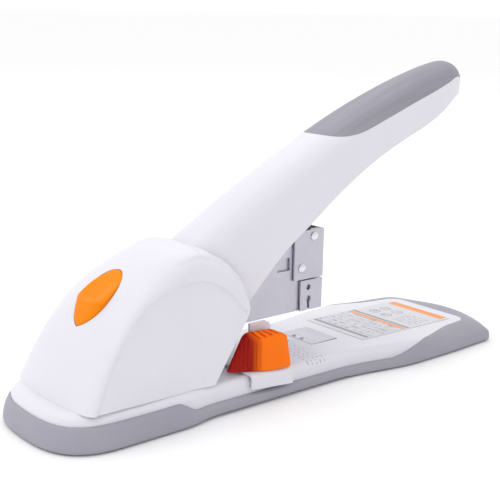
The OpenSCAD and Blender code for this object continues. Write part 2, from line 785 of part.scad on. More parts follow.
rail_w = staple_w - 2;
rail_rear = pivot_x + 7.5;
rail_end = blade_x - 0.5;
rail_flange_z = nose_z + 0.5;
rail_low = rail_flange_z + 1.6;
module staple_rail() color(steel) {
  difference() {
    union() {
      translate([rail_rear, -side_in + 0.3, rail_flange_z]) cube([rail_end - rail_rear, channel_w - 0.6, rail_low - rail_flange_z]);
      translate([rail_rear, -rail_w / 2, rail_flange_z]) cube([rail_end - rail_rear, rail_w, rail_top - rail_flange_z]);
      // arms past the blade's way, and the block that closes the nose
      for (y = [-1, 1]) translate([rail_end - 1, y * (side_in - 0.8) - 0.5, rail_flange_z])
        cube([4, 1, rail_low - rail_flange_z]);
      translate([nose_x - 4.6, -side_out - cover_gap, nose_z])
        cube([3.6, 2 * (side_out + cover_gap), nose_step - nose_z - 1]);
      translate([nose_x - 4.6, -side_in + 1, nose_z]) cube([3.6, channel_w - 2, mouth_z - nose_z - 0.6]);
    }
    translate([rail_rear + 1.4, -rail_w / 2 + 1.2, rail_low]) cube([rail_end - rail_rear - 3, rail_w - 2.4, 40]);
    // the rear is lower, under the latch
    translate([rail_rear - 1, -rail_w / 2 + 1.2, latch_low - gap]) cube([10, rail_w - 2.4, 40]);
  }
  translate([spring_seat_x - 1.2, -rail_w / 2 + 1, rail_low - 0.2])
    cube([1.2, rail_w - 2, latch_low - gap - rail_low]);
}

// A wall across the rail that the pusher's spring stands against
spring_seat_x = rail_rear + 8;
// Plate round the nose, with a round hole and a keyhole that is open below
module nose_plate() color(steel) {
  difference() {
    translate([nose_x - 15.5, -side_out - cover_gap - sheet_t, nose_z - 0.2])
      cube([15.5 + 0.2, 2 * (side_out + cover_gap + sheet_t), nose_step - nose_z - 0.6]);
    translate([nose_x - 20, -side_out - cover_gap, nose_z - 1])
      cube([20 - 1, 2 * (side_out + cover_gap), 40]);
    cross_bar(3, 60, [nose_x - 9.8, nose_z + 12.4]);
    cross_bar(3.4, 60, [nose_x - 9.6, nose_z + 6]);
    translate([nose_x - 10.4, -30, nose_z - 1]) cube([1.6, 60, 7]);
  }
}

staple_t = 0.8;
strip_rear = rail_end - 44;
module staple_strip() color([0.8, 0.8, 0.83]) {
  difference() {
    translate([strip_rear, -staple_w / 2, rail_top + 0.05 + staple_t - staple_leg])
      cube([rail_end - strip_rear, staple_w, staple_leg]);
    translate([strip_rear - 1, -rail_w / 2 - 0.1, 0])
      cube([60, rail_w + 0.2, rail_top + 0.05]);
  }
}

pusher_travel = 26;
module pusher() color(dark_steel) {
  x0 = strip_rear - 12;
  difference() {
    translate([x0, -side_in + 0.3, rail_low + 0.2]) cube([11.9, channel_w - 0.6, rail_top + 0.7 - rail_low]);
    translate([x0 - 1, -rail_w / 2 - 0.2, 0]) cube([20, rail_w + 0.4, rail_top + 0.1]);
  }
  translate([x0 + 1, -rail_w / 2 + 1.5, rail_low + 0.4]) cube([8, rail_w - 3, rail_top + 0.5 - rail_low]);
}
module pusher_spring() color(steel) {
  length = strip_rear - 11.1 - spring_seat_x;
  translate([spring_seat_x + 0.1, 0, mix(rail_low, rail_top, 0.5) - 1]) rotate([0, 90, 0])
    coil(rail_w - 3.6, length, 8, 0.7);
}

// ---- paper guide ----

guide_x = rear_x + guide_front;
guide_deck = deck_z(guide_front - guide_len);
carriage_top = guide_deck + 1.6;
carriage_w = waist_w + 2 * (gap + 1.6);
post_y = 22;
module guide_carriage() color(white) {
  // the saddle across the deck, cut to the slope of the deck with a sliding gap
  difference() {
    translate([guide_x - guide_len, -carriage_w / 2, tray_waist_h + 1.6])
      cube([guide_len, carriage_w, carriage_top - tray_waist_h - 1.6]);
    translate([guide_x - guide_len - 1, -waist_w / 2 - gap, -1])
      cube([guide_len + 2, waist_w + 2 * gap, guide_deck + 1 + 0.35]);
  }
  // the post that carries the button
  translate([guide_x - 17, -post_y, carriage_top - eps]) cube([16, 1.6, guide_h + 1.5]);
}

button_out = waist_w / 2;
guide_press = 1.5;
module guide_button() color(orange) {
  low = carriage_top + 0.1;
  high = carriage_top + guide_h - 1;
  lean = 1.5;
  difference() {
    translate([0, -post_y - guide_press - gap, 0]) mirror([0, 1, 0])
      translate([0, button_out - post_y - guide_press - gap, 0]) rotate([90, 0, 0])
        linear_extrude(button_out - post_y - guide_press - gap) polygon([
          [guide_x - guide_len - 2, low], [guide_x - 0.5, low],
          [guide_x - 3.5, high - 2], [guide_x - 6, high], [guide_x - guide_len + 5.5, high]]);
    translate([guide_x - guide_len / 2 - 3, -post_y - guide_press - gap + 0.1, low + 8])
      rotate([90, 0, 0]) cylinder(d = 7, h = 5);
  }
}
module guide_spring() color(steel) {
  translate([guide_x - guide_len / 2 - 3, -post_y - 0.1, carriage_top + 8.1])
    rotate([90, 0, 0]) coil(6, 5.6, 4, 0.7);
}
module guide_pad() color(dark_steel) {
  for (y = [-1, 1]) translate([guide_x - guide_len + 3, y * (waist_w / 2 + gap) - (y > 0 ? 0 : -0.01) - (y < 0 ? 0 : 0.25), 9])
    cube([guide_len - 6, 0.24, 3]);
}

bottom_tray();
base_plate();
base_cover();
rubber_feet();
base_screws();
anvil_plate();
scale_label();
pivot_bracket();
lever_pin();
head_pin();
pin_clips();
rear_cover();
cover_screws();
latch_pin();
head_lift_spring();
button_spring();
handle_shell();
grip_insert();
lever_core();
driver_pin();
lever_screws();
head_frame();
head_web();
front_cover();
cover_rivets();
lever_spring();
driver_blade();
driver_block();
staple_rail();
nose_plate();
staple_strip();
pusher();
pusher_spring();
release_button();
latch_lever();
guide_carriage();
guide_button();
guide_spring();
guide_pad();
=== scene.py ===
import math
import bmesh
import bpy
import numpy as np
from mathutils import Matrix, Vector


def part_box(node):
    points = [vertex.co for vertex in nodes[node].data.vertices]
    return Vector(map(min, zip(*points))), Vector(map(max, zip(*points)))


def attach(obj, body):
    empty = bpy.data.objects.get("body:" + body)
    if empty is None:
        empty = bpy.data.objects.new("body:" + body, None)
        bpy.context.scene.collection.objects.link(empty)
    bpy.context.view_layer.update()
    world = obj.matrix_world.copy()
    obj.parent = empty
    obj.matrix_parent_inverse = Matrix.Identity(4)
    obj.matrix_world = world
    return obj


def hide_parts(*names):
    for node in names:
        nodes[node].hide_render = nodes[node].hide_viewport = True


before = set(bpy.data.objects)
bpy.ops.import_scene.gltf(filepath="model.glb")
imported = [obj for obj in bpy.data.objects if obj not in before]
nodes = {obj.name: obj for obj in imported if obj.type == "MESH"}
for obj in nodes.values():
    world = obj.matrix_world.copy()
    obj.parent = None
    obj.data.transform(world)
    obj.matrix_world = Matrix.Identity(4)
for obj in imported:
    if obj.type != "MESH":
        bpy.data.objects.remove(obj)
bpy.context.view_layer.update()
mm = 0.001
print("frame loaded:", len(nodes), "nodes")

# Places that everything is measured from, in mm. d runs forward from the rear end of the base.
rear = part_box("bottom_tray")[0][0] / mm
baseLength = (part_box("bottom_tray")[1][0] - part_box("bottom_tray")[0][0]) / mm
pivotD, pivotZ = 79.2, 42.0


# Shapes

def smooth(t):
    # S curve: 3 t squared minus 2 t cubed, held at 0 and 1 outside
    t = np.clip(t, 0, 1)
    return t * t * (3 - 2 * t)


def mix(a, b, t):
    return a + (b - a) * t


def cubic(points, t):
    # Cubic curve with four control points
    p = np.asarray(points, float)
    t = np.asarray(t, float)[:, None]
    return (1 - t) ** 3 * p[0] + 3 * t * (1 - t) ** 2 * p[1] + 3 * t * t * (1 - t) * p[2] + t ** 3 * p[3]


def spline(knots, t):
    # Curve through all knots: cubic pieces whose slope at a knot is half the way between its neighbours
    k = np.asarray(knots, float)
    k = k.reshape(len(k), -1)
    slope = np.gradient(k, axis=0)
    x = np.clip(np.asarray(t, float), 0, 1) * (len(k) - 1)
    i = np.minimum(x.astype(int), len(k) - 2)
    f = (x - i)[:, None]
    h1, h2 = 2 * f ** 3 - 3 * f ** 2 + 1, -2 * f ** 3 + 3 * f ** 2
    h3, h4 = f ** 3 - 2 * f ** 2 + f, f ** 3 - f ** 2
    return h1 * k[i] + h2 * k[i + 1] + h3 * slope[i] + h4 * slope[i + 1]


def gridFaces(rows, cols, start=0, closeRows=False, closeCols=False, keep=None):
    # Four-sided faces between neighbouring points of a grid
    i = np.arange(rows if closeRows else rows - 1)
    j = np.arange(cols if closeCols else cols - 1)
    i, j = np.meshgrid(i, j, indexing="ij")
    a, b = i * cols + j, i * cols + (j + 1) % cols
    c, d = ((i + 1) % rows) * cols + (j + 1) % cols, ((i + 1) % rows) * cols + j
    quads = np.stack([a, b, c, d], -1) + start
    return quads[keep] if keep is not None else quads.reshape(-1, 4)


def makePiece(name, grids, sharp=35, outward=None):
    # One mesh from grids of points in mm given as (points, closeRows, closeCols, keep)
    verts, faces, count = [], [], 0
    for points, closeRows, closeCols, keep in grids:
        rows, cols = points.shape[:2]
        flat = points.reshape(-1, 3).copy()
        flat[:, 0] += rear
        verts.append(flat * mm)
        faces.append(gridFaces(rows, cols, count, closeRows, closeCols, keep))
        count += len(flat)
    mesh = bpy.data.meshes.new(name)
    mesh.from_pydata(np.concatenate(verts).tolist(), [], np.concatenate(faces).tolist())
    piece = bpy.data.objects.new(name, mesh)
    bpy.context.scene.collection.objects.link(piece)
    tidyMesh(piece, sharp, outward)
    return piece


def tidyMesh(piece, sharp=35, outward=None):
    # Joined seams, faces pointing out, soft shading up to the given angle
    work = bmesh.new()
    work.from_mesh(piece.data)
    bmesh.ops.remove_doubles(work, verts=work.verts, dist=0.00002)
    bmesh.ops.dissolve_degenerate(work, edges=work.edges, dist=0.00001)
    loose = [v for v in work.verts if not v.link_faces]
    bmesh.ops.delete(work, geom=loose, context="VERTS")
    bmesh.ops.recalc_face_normals(work, faces=work.faces)
    if outward is not None:
        centre = Vector(((outward[0] + rear) * mm, outward[1] * mm, outward[2] * mm))
        side = sum((f.calc_center_median() - centre).dot(f.normal) * f.calc_area() for f in work.faces)
        if side < 0:
            bmesh.ops.reverse_faces(work, faces=work.faces)
    work.to_mesh(piece.data)
    work.free()
    piece.data.shade_smooth()
    piece.data.set_sharp_from_angle(angle=math.radians(sharp))


def cutAtDeck(piece, lift=0.03):
    # Everything under the plane of the deck is taken away
    work = bmesh.new()
    work.from_mesh(piece.data)
    geom = work.verts[:] + work.edges[:] + work.faces[:]
    bmesh.ops.bisect_plane(work, geom=geom, plane_co=(rear * mm, 0, (17.2 + lift) * mm),
                           plane_no=(-0.0191, 0, -1), clear_outer=True)
    work.to_mesh(piece.data)
    work.free()


def bake(piece):
    # The modifiers so far become the mesh
    mesh = bpy.data.meshes.new_from_object(piece.evaluated_get(bpy.context.evaluated_depsgraph_get()))
    piece.modifiers.clear()
    piece.data = mesh


def carve(piece, cutter, keep="DIFFERENCE"):
    # The cutter's shape is taken out of the piece, and the cutter is thrown away
    bpy.context.view_layer.update()
    cut = piece.modifiers.new("cut", "BOOLEAN")
    cut.operation, cut.solver, cut.object = keep, "EXACT", cutter
    bake(piece)
    bpy.data.objects.remove(cutter)


def thicken(piece, wall):
    shell = piece.modifiers.new("wall", "SOLIDIFY")
    shell.thickness, shell.offset, shell.use_even_offset = wall * mm, -1, False


def soften(piece, width, segments=2, angle=35):
    edge = piece.modifiers.new("edge", "BEVEL")
    edge.width, edge.segments, edge.limit_method = width * mm, segments, "ANGLE"
    edge.angle_limit = math.radians(angle)
    edge.harden_normals = True


def finishPiece(piece, body, material, slotName, *replaced):
    piece.data.materials.clear()
    piece.data.materials.append(material)
    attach(piece, body)
    if replaced:
        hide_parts(*replaced)
    print("made", piece.name, len(piece.data.polygons), "faces")


def prism(name, outline, low, high, sharp=35):
    # A closed outline in plan (d, y) carried straight up from low to high, closed at both ends
    o = np.asarray(outline, float)
    mid = o.mean(0)
    levels = [(low, 0.0), (low, 1.0), (high, 1.0), (high, 0.0)]
    rings = [np.column_stack([mix(mid[0], o[:, 0], k), mix(mid[1], o[:, 1], k), np.full(len(o), z)]) for z,
             k in levels]
    return makePiece(name, [(np.stack(rings), False, True, None)], sharp)


def boxAt(name, low, high):
    (x0, y0, z0), (x1, y1, z1) = low, high
    return prism(name, [(x0, y0), (x1, y0), (x1, y1), (x0, y1)], z0, z1)


def mergedCopy(name):
    # A CAD node's mesh with its loose triangles joined, flat faces made whole again
    source = nodes[name]
    piece = bpy.data.objects.new(name + "_fine", source.data.copy())
    bpy.context.scene.collection.objects.link(piece)
    work = bmesh.new()
    work.from_mesh(piece.data)
    bmesh.ops.remove_doubles(work, verts=work.verts, dist=0.000005)
    bmesh.ops.dissolve_limit(work, angle_limit=math.radians(1.5), verts=work.verts, edges=work.edges)
    bmesh.ops.recalc_face_normals(work, faces=work.faces)
    work.to_mesh(piece.data)
    work.free()
    piece.data.shade_smooth()
    piece.data.set_sharp_from_angle(angle=math.radians(30))
    return piece


# Finishes

class Wire:
    # A socket that takes part in sums: each operator adds one Math node
    def __init__(self, paint, socket):
        self.paint, self.socket = paint, socket

    def math(self, operation, a, b=None):
        return self.paint.node("ShaderNodeMath", {"operation": operation}, [a] if b is None else [a, b])

    def __add__(self, other):
        return self.math("ADD", self, other)

    def __radd__(self, other):
        return self.math("ADD", other, self)

    def __sub__(self, other):
        return self.math("SUBTRACT", self, other)

    def __rsub__(self, other):
        return self.math("SUBTRACT", other, self)

    def __mul__(self, other):
        return self.math("MULTIPLY", self, other)

    def __rmul__(self, other):
        return self.math("MULTIPLY", other, self)

    def __truediv__(self, other):
        return self.math("DIVIDE", self, other)

    def __gt__(self, other):
        return self.math("GREATER_THAN", self, other)

    def __lt__(self, other):
        return self.math("LESS_THAN", self, other)

    def abs(self):
        return self.math("ABSOLUTE", self)

    def fract(self):
        return self.math("FRACT", self)

    def sqrt(self):
        return self.math("SQRT", self)

    def clamp(self):
        return self.paint.node("ShaderNodeClamp", {}, [self, 0.0, 1.0])


class Paint:
    # A material and the nodes that feed its one shader
    def __init__(self, name, **fixed):
        self.material = bpy.data.materials.new(name)
        self.material.use_nodes = True
        self.tree = self.material.node_tree
        self.shader = self.tree.nodes["Principled BSDF"]
        self.here = self.node("ShaderNodeTexCoord", {}, [], "Object")
        for socket, value in fixed.items():
            self.shader.inputs[socket.replace("_", " ")].default_value = value

    def node(self, kind, settings, values, output=0):
        made = self.tree.nodes.new(kind)
        for key, value in settings.items():
            if key == "stops":
                ramp = made.color_ramp
                while len(ramp.elements) < len(value):
                    ramp.elements.new(0.5)
                for element, (place, colour) in zip(ramp.elements, value):
                    element.position, element.color = place, colour
            else:
                setattr(made, key, value)
        pairs = values.items() if isinstance(values, dict) else enumerate(values)
        for key, value in pairs:
            if value is None:
                continue
            if isinstance(value, Wire):
                self.tree.links.new(value.socket, made.inputs[key])
            else:
                made.inputs[key].default_value = value
        return Wire(self, made.outputs[output])

    def axes(self, place=None):
        made = self.tree.nodes.new("ShaderNodeSeparateXYZ")
        self.tree.links.new((place or self.here).socket, made.inputs[0])
        return [Wire(self, made.outputs[i]) for i in range(3)]

    def stretched(self, scale, turn=(0, 0, 0)):
        return self.node("ShaderNodeMapping", {}, {"Vector": self.here, "Scale": scale, "Rotation": turn})

    def noise(self, scale, detail=3.0, rough=0.55, place=None):
        values = {"Vector": place or self.here, "Scale": scale, "Detail": detail, "Roughness": rough}
        return self.node("ShaderNodeTexNoise", {}, values)

    def blend(self, amount, first, second):
        # Colours mixed by a value from 0 to 1
        first = first if isinstance(first, Wire) else (*first[:3], 1)
        second = second if isinstance(second, Wire) else (*second[:3], 1)
        return self.node("ShaderNodeMix", {"data_type": "RGBA"}, {0: amount, 6: first, 7: second}, 2)

    def ramp(self, value, low, high):
        return self.node("ShaderNodeMapRange", {"clamp": True}, {0: value, 1: low, 2: high, 3: 0.0, 4: 1.0})

    def bump(self, height, strength, distance):
        values = {"Strength": strength, "Distance": distance, "Height": height}
        self.link("Normal", self.node("ShaderNodeBump", {}, values))

    def link(self, socket, value):
        if isinstance(value, Wire):
            self.tree.links.new(value.socket, self.shader.inputs[socket])
        else:
            self.shader.inputs[socket].default_value = value


def mouldedPlastic(name, colour, shade, rough, grain=0.00002, coat=0.0, cell=2600, shine=0.5, paintedRearShade=None):
    # Moulded plastic: faint cloudiness in the colour, fine pitting in the surface
    paint = Paint(name, Specular_IOR_Level=shine, Coat_Weight=coat)
    cloud = paint.noise(22, 3)
    fine = paint.noise(cell, 2)
    broad = paint.noise(160, 3)
    tone = paint.blend(paint.ramp(cloud, 0.35, 0.7), colour, shade)
    if paintedRearShade:
        # painted shade: deeper colour towards the rear, standing in for the shade on the guide block's rear
        # face
        tone = paint.blend(paint.ramp(paint.axes()[0] * 1000 - rear, paintedRearShade[1], paintedRearShade[0]), tone,
                           paintedRearShade[2])
    paint.link("Base Color", tone)
    paint.link("Roughness", (broad * 0.10 + (rough - 0.05) + fine * 0.04).clamp())
    paint.bump(fine + broad * 0.4, 0.35, grain)
    return paint.material


def brushedSteel(name, colour, shade, rough, along=(1, 1, 30), strength=0.3):
    # Rolled and plated sheet: long fine scratches, cloudy plating, small dull spots
    paint = Paint(name, Metallic=1.0)
    lines = paint.noise(260, 4, 0.7, paint.stretched(along))
    cloud = paint.noise(45, 4)
    spots = paint.noise(420, 3)
    tone = paint.ramp(cloud * 0.6 + lines * 0.4, 0.3, 0.7)
    paint.link("Base Color", paint.blend(tone, colour, shade))
    paint.link("Roughness", (lines * 0.18 + cloud * 0.12 + paint.ramp(spots, 0.62,
                                                                      0.7) * 0.08 + (rough - 0.15)).clamp())
    paint.bump(lines + cloud * 0.3, strength, 0.00003)
    return paint.material


whiteShell = mouldedPlastic("white_shell_abs", (0.735, 0.725, 0.785), (0.71, 0.70, 0.765), 0.38,
                            0.00001, 0.05)
trayGrey = mouldedPlastic("tray_grey_abs", (0.345, 0.336, 0.395), (0.318, 0.31, 0.37), 0.55, 0.00005,
                          0.0, 1700)
buttonOrange = mouldedPlastic("button_orange_abs", (0.90, 0.25, 0.0), (0.84, 0.225, 0.0), 0.42, 0.00001,
                              0.0, 2600, 0.12)
# the guide's orange carries painted shade: deep red from d 114.5 back to 109.5
guideOrange = mouldedPlastic("guide_orange_abs", (0.98, 0.19, 0.002), (0.93, 0.165, 0.001), 0.40, 0.00001,
                             0.0, 2600, 0.15,
                             (109.5, 114.5, (0.36, 0.006, 0.001)))
blackPlastic = mouldedPlastic("black_nylon", (0.02, 0.02, 0.022), (0.03, 0.03, 0.033), 0.5)
footRubber = mouldedPlastic("foot_rubber", (0.03, 0.03, 0.032), (0.022, 0.022, 0.025), 0.8, 0.00008, 0.0, 900)
zincSteel = brushedSteel("zinc_sheet", (0.56, 0.555, 0.62), (0.48, 0.475, 0.54), 0.36)
brightSteel = brushedSteel("bright_steel", (0.80, 0.80, 0.82), (0.70, 0.70, 0.73), 0.24, (1, 20, 1), 0.15)
toolSteel = brushedSteel("tool_steel", (0.33, 0.27, 0.24), (0.22, 0.18, 0.17), 0.38, (1, 1, 0.1))
springWire = brushedSteel("spring_wire", (0.55, 0.55, 0.57), (0.45, 0.45, 0.47), 0.3, (1, 1, 1), 0.1)


def gripRubber():
    # Soft-touch inlay: lengthwise bands of sheen that follow the handle, and a fine grain
    paint = Paint("grip_soft_touch", Specular_IOR_Level=0.35)
    bands = paint.noise(60, 3, 0.6, paint.stretched((0.12, 4.2, 0.5), (0, math.radians(-25), 0)))
    grain = paint.noise(2400, 2)
    cloud = paint.noise(30, 3)
    tone = paint.ramp(bands * 0.75 + cloud * 0.25, 0.35, 0.65)
    paint.link("Base Color", paint.blend(tone, (0.27, 0.262, 0.31), (0.32, 0.312, 0.365)))
    paint.link("Roughness", (bands * 0.16 + 0.44 + grain * 0.06).clamp())
    paint.bump(grain * 0.7 + bands, 0.4, 0.00006)
    return paint.material


gripSkin = gripRubber()


def printedDeck():
    # White shell with the pale scale printed on the deck beside the anvil
    paint = Paint("white_shell_printed", Specular_IOR_Level=0.5)
    x, y, z = paint.axes()
    d = x * 1000.0 - rear
    side = y * 1000.0
    inRows = (d > 146.5) * (d < 161.5) * (side < -5.0) * (side > -33.0)
    rows = ((d / 2.9).fract() > 0.62) * ((side / 3.4 + (d / 9.0) * 0.3).fract() > 0.4)
    broken = paint.noise(900, 1) > 0.44
    ink = inRows * rows * broken * 0.42
    arrow = (d > 158.0) * (d < 163.5) * (side.abs() < (163.5 - d) * 0.45)
    cloud = paint.noise(22, 3)
    fine = paint.noise(2600, 2)
    broad = paint.noise(160, 3)
    shell = paint.blend(paint.ramp(cloud, 0.35, 0.7), (0.735, 0.725, 0.785), (0.71, 0.70, 0.765))
    top = z > 0.0118
    paint.link("Base Color", paint.blend(((ink + arrow * 0.8) * top).clamp(), shell, (0.13, 0.13, 0.16)))
    paint.link("Roughness", (broad * 0.10 + 0.33 + fine * 0.04).clamp())
    paint.bump(fine + broad * 0.4, 0.35, 0.00001)
    paint.link("Coat Weight", 0.08)
    return paint.material


deckWhite = printedDeck()


def printedLabel():
    # Film label: a table of small marks between coloured bars, a ring of round signs, a bar across the front
    paint = Paint("printed_label", Specular_IOR_Level=0.5)
    x, y = paint.axes()[:2]
    d = x * 1000.0 - rear
    side = y * 1000.0
    inside = side.abs() < 21.5

    def band(low, high):
        return (d > low) * (d < high)

    def lines(value, pitch, share):
        return (value / pitch).fract() < share

    table = band(203.5, 231.5) * inside
    cellRow = ((d - 203.5) / 4.7).fract()
    inRow = (cellRow > 0.28) * (cellRow < 0.72)
    marks = inRow * (paint.noise(620, 1, 0.5, paint.stretched((0.25, 1.6, 1))) > 0.53)
    columns = lines(side + 21.5, 7.2, 0.045)
    rows = lines(d - 203.5, 4.7, 0.08)
    greyInk = table * ((marks * 0.75 + columns * 0.35 + rows * 0.35).clamp())
    darkBar = band(200.8, 203.5) * inside + band(234.0, 236.4) * (side.abs() < 22.5)
    orangeBar = band(230.6, 233.2) * (side.abs() < 22.0) + band(264.8, 270.8) * (side.abs() < 21.0)
    u = ((side + 20.0) / 9.5).fract() - 0.5
    v = ((d - 240.0) / 9.5).fract() - 0.5
    radius = (u * u + v * v).sqrt()
    rings = (radius < 0.36) * (radius > 0.30) + (radius < 0.24) * (paint.noise(900, 1) > 0.55)
    signs = band(240.0, 259.0) * (side > -1.0) * (side < 18.0) * rings
    notes = band(241.0, 258.0) * (side < -4.0) * (side > -20.0) * lines(d, 3.4,
        0.4) * (paint.noise(700, 1) > 0.5)
    cloud = paint.noise(40, 2)
    film = paint.blend(paint.ramp(cloud, 0.4, 0.6), (0.64, 0.63, 0.68), (0.62, 0.61, 0.665))
    inked = paint.blend((greyInk * 0.85 + signs * 0.85 + notes * 0.6).clamp(), film, (0.16, 0.16, 0.19))
    inked = paint.blend(darkBar.clamp() * 0.92, inked, (0.235, 0.23, 0.265))
    inked = paint.blend(orangeBar.clamp(), inked, (0.84, 0.26, 0.02))
    paint.link("Base Color", inked)
    paint.link("Roughness", (cloud * 0.08 + 0.30).clamp())
    paint.bump(paint.noise(1800, 2), 0.2, 0.00001)
    return paint.material


labelFilm = printedLabel()

cadFinish = {
    "base_plate": zincSteel, "rubber_feet": footRubber, "base_screws": zincSteel, "anvil_plate": zincSteel,
    "scale_label": labelFilm, "pivot_bracket": zincSteel, "lever_pin": brightSteel, "head_pin": brightSteel,
    "pin_clips": toolSteel, "cover_screws": zincSteel, "latch_pin": brightSteel,
    "head_lift_spring": springWire,
    "button_spring": springWire, "lever_core": zincSteel, "driver_pin": brightSteel,
    "lever_screws": zincSteel,
    "head_web": zincSteel, "driver_blade": toolSteel, "driver_block": toolSteel,
    "staple_rail": zincSteel, "staple_strip": brightSteel, "pusher": blackPlastic,
    "pusher_spring": springWire,
    "latch_lever": zincSteel, "guide_spring": springWire,
}
for nodeName, finish in cadFinish.items():
    mesh = nodes[nodeName].data
    mesh.materials.clear()
    mesh.materials.append(finish)
print("finishes made")


# Rear cover

cover = {"wall": 2.0, "slotHalf": 19.6, "frontRadius": 38.0, "ledgeDepth": 1.0, "lipCentre": 80.5,
         "lipSide": 66.0,
         "rollHeight": 1.2, "sideAtFoot": 34.0, "draft": 0.128, "taper": 0.045}


def coverProfile():
    # Rear curve, arc about the lever's pivot, sloped front line, all closed far below the foot
    rearCurve = cubic([(12.5, 17), (25, 43), (46, 80), (85, 80)], np.linspace(0, 1, 40))
    a = np.radians(np.linspace(81, 14, 40))
    arc = np.column_stack([pivotD + cover["frontRadius"] * np.cos(a),
                           pivotZ + cover["frontRadius"] * np.sin(a)])
    below = np.array([(115.4, 48.2), (113.0, 45.6), (108.9, 41.8), (98.4, 29.4), (88.1, 17), (66, -9.4),
                      (40, -14),
                      (20, -14), (3.4, -2)])
    outline = np.vstack([rearCurve, arc, below, rearCurve[:1]])
    step = np.linspace(0, 1, 12)[:, None]
    return np.vstack([mix(outline[i], outline[i + 1], step[:-1]) for i in range(len(outline) - 1)])


coverOutline = coverProfile()


def coverRadius(angle):
    # Distance from the pivot to the profile in a direction, read off the profile by its angle
    rel = coverOutline - (pivotD, pivotZ)
    a = np.degrees(np.arctan2(rel[:, 1], rel[:, 0])) % 360
    order = np.argsort(a)
    return np.interp(angle % 360, a[order], np.hypot(rel[:, 0], rel[:, 1])[order], period=360)


def coverHalfWidth(d, z):
    # Leans in with height and narrows towards the front
    return cover["sideAtFoot"] - cover["draft"] * (z - 17) - cover["taper"] * np.maximum(d - 45, 0)


def roundAbout(angle):
    # Directions counted from under the front, so that the rear comes out above 90 degrees
    return (angle + 107) % 360 - 107


def softTable(places, values, spread):
    # Values between the given places, averaged over a few degrees so that no crease is left
    fine = np.arange(-107, 253.5, 0.5)
    weight = np.hanning(4 * spread + 3)
    padded = np.pad(np.interp(fine, places, values), 2 * spread + 1, mode="edge")
    return fine, np.convolve(padded, weight / weight.sum(), mode="valid")


ledgeTable = softTable([-107, 3, 8, 15, 40, 69, 94, 120, 147, 165, 185, 253],
                       [0.985, 0.985, 0.90, 0.775, 0.69, 0.645, 0.66, 0.71, 0.81, 0.85, 0.875, 0.89], 5)
fullTable = softTable([-107, -10, 10, 80, 118, 253], [2.2, 2.2, 3.1, 3.1, 2.15, 2.1], 16)


def ledgeShare(angle):
    # Where the flat side panel ends, as a share of the radius:
    # early over the front arc, late at the rear and below
    return np.interp(roundAbout(angle), *ledgeTable)


def fullness(angle):
    # Power of the section's curve: nearly square beside the handle's slot, an ellipse at the rear
    return np.interp(roundAbout(angle), *fullTable)


def lipRoll(angle, across):
    # A low roll round the slot's edge, ending in a soft step
    a = roundAbout(angle)
    around = smooth((112 - a) / 34) * smooth((a - 4) / 12)
    beside = 1 - smooth((across - 21.4) / 1.6)
    behind = mix(1, smooth((across - 12) / 7), smooth((a - 78) / 16))
    return cover["rollHeight"] * around * beside * behind


def coverShell():
    # Quarter ellipses from the crown down to the flat panel, one for each direction from the pivot
    angles = np.concatenate([np.linspace(253, 205, 14), np.linspace(203, 86, 80), np.linspace(85, 60, 22),
                             np.linspace(58, -14, 50), np.linspace(-18, -106, 24)])
    half = cover["slotHalf"]
    acrossTop = half * np.linspace(0, 1, 15)
    grids = []
    for side in (-1, 1):
        lip = mix(cover["lipCentre"], cover["lipSide"], (acrossTop / half) ** 2)
        row = angles[:, None]
        nearLip = np.exp(-((row - cover["lipSide"]) / 16.0) ** 2)
        top = row + (lip - cover["lipSide"])[None, :] * nearLip
        share = ledgeShare(top)
        radius = coverRadius(top)
        edgeD = pivotD + share * radius * np.cos(np.radians(top))
        edgeZ = pivotZ + share * radius * np.sin(np.radians(top))
        width = coverHalfWidth(edgeD, edgeZ)
        across = np.minimum(acrossTop[None, :], width * 0.995)
        power = fullness(top)
        r = radius * (share + (1 - share) * (1 - (across / width) ** power) ** (1 / power)) + lipRoll(top,
            across)
        crown = np.stack([pivotD + r * np.cos(np.radians(top)), side * across,
                          pivotZ + r * np.sin(np.radians(top))], -1)
        # the side band: from the slot's edge round to the ledge
        share, radius, width, power = ledgeShare(row), coverRadius(row), width[:, -1:], fullness(row)
        start = np.arcsin(np.minimum(half / width, 0.995) ** (power / 2))
        turn = mix(start, np.pi / 2, np.linspace(0, 1, 26)[None, :] ** 0.9)
        across = width * np.sin(turn) ** (2 / power)
        r = radius * (share + (1 - share) * np.cos(turn) ** (2 / power)) + lipRoll(row, across)
        band = np.stack([pivotD + r * np.cos(np.radians(row)), side * across,
                         pivotZ + r * np.sin(np.radians(row))], -1)
        # the panel: sunk a little below the band, flat to the middle
        inward = np.concatenate([[0.0, 0.01, 0.02, 0.03, 0.045, 0.06, 0.09],
                                 np.linspace(0.15, 1, 10)])[None, :]
        r = radius * share * (1 - inward)
        d, z = pivotD + r * np.cos(np.radians(row)), pivotZ + r * np.sin(np.radians(row))
        sunk = cover["ledgeDepth"] * smooth(inward / 0.055)
        sunk = sunk * np.maximum(smooth((roundAbout(row) - 2) / 9), smooth((inward - 0.03) / 0.3))
        fade = smooth(inward / 0.3)
        across = mix(width + 0 * d, coverHalfWidth(d, z), fade) - sunk
        panel = np.stack([d, side * across, z], -1)
        rows = len(angles)
        firstOpen = int(np.argmin(np.abs(angles - cover["lipSide"])))
        keep = np.ones((rows, len(acrossTop) - 1), bool)
        keep[firstOpen:, :] = False
        grids.append((crown, True, False, keep))
        grids.append((band, True, False, None))
        grids.append((panel, True, False, None))
    piece = makePiece("rear_cover_shell", grids, 60, (60, 0, 40))
    cutAtDeck(piece)
    tidyMesh(piece, 40, (60, 0, 40))
    thicken(piece, cover["wall"])
    bake(piece)
    return piece


button = {"low": (30.3, 48.0), "high": (53.7, 70.9), "half": 10.8, "crest": 3.3, "gap": 0.35}


def buttonFrame():
    # Middle, direction up the slope, direction out of the cover
    low, high = np.array(button["low"]), np.array(button["high"])
    along = (high - low) / np.hypot(*(high - low))
    return (low + high) / 2, along, np.array([-along[1], along[0]]), np.hypot(*(high - low)) / 2


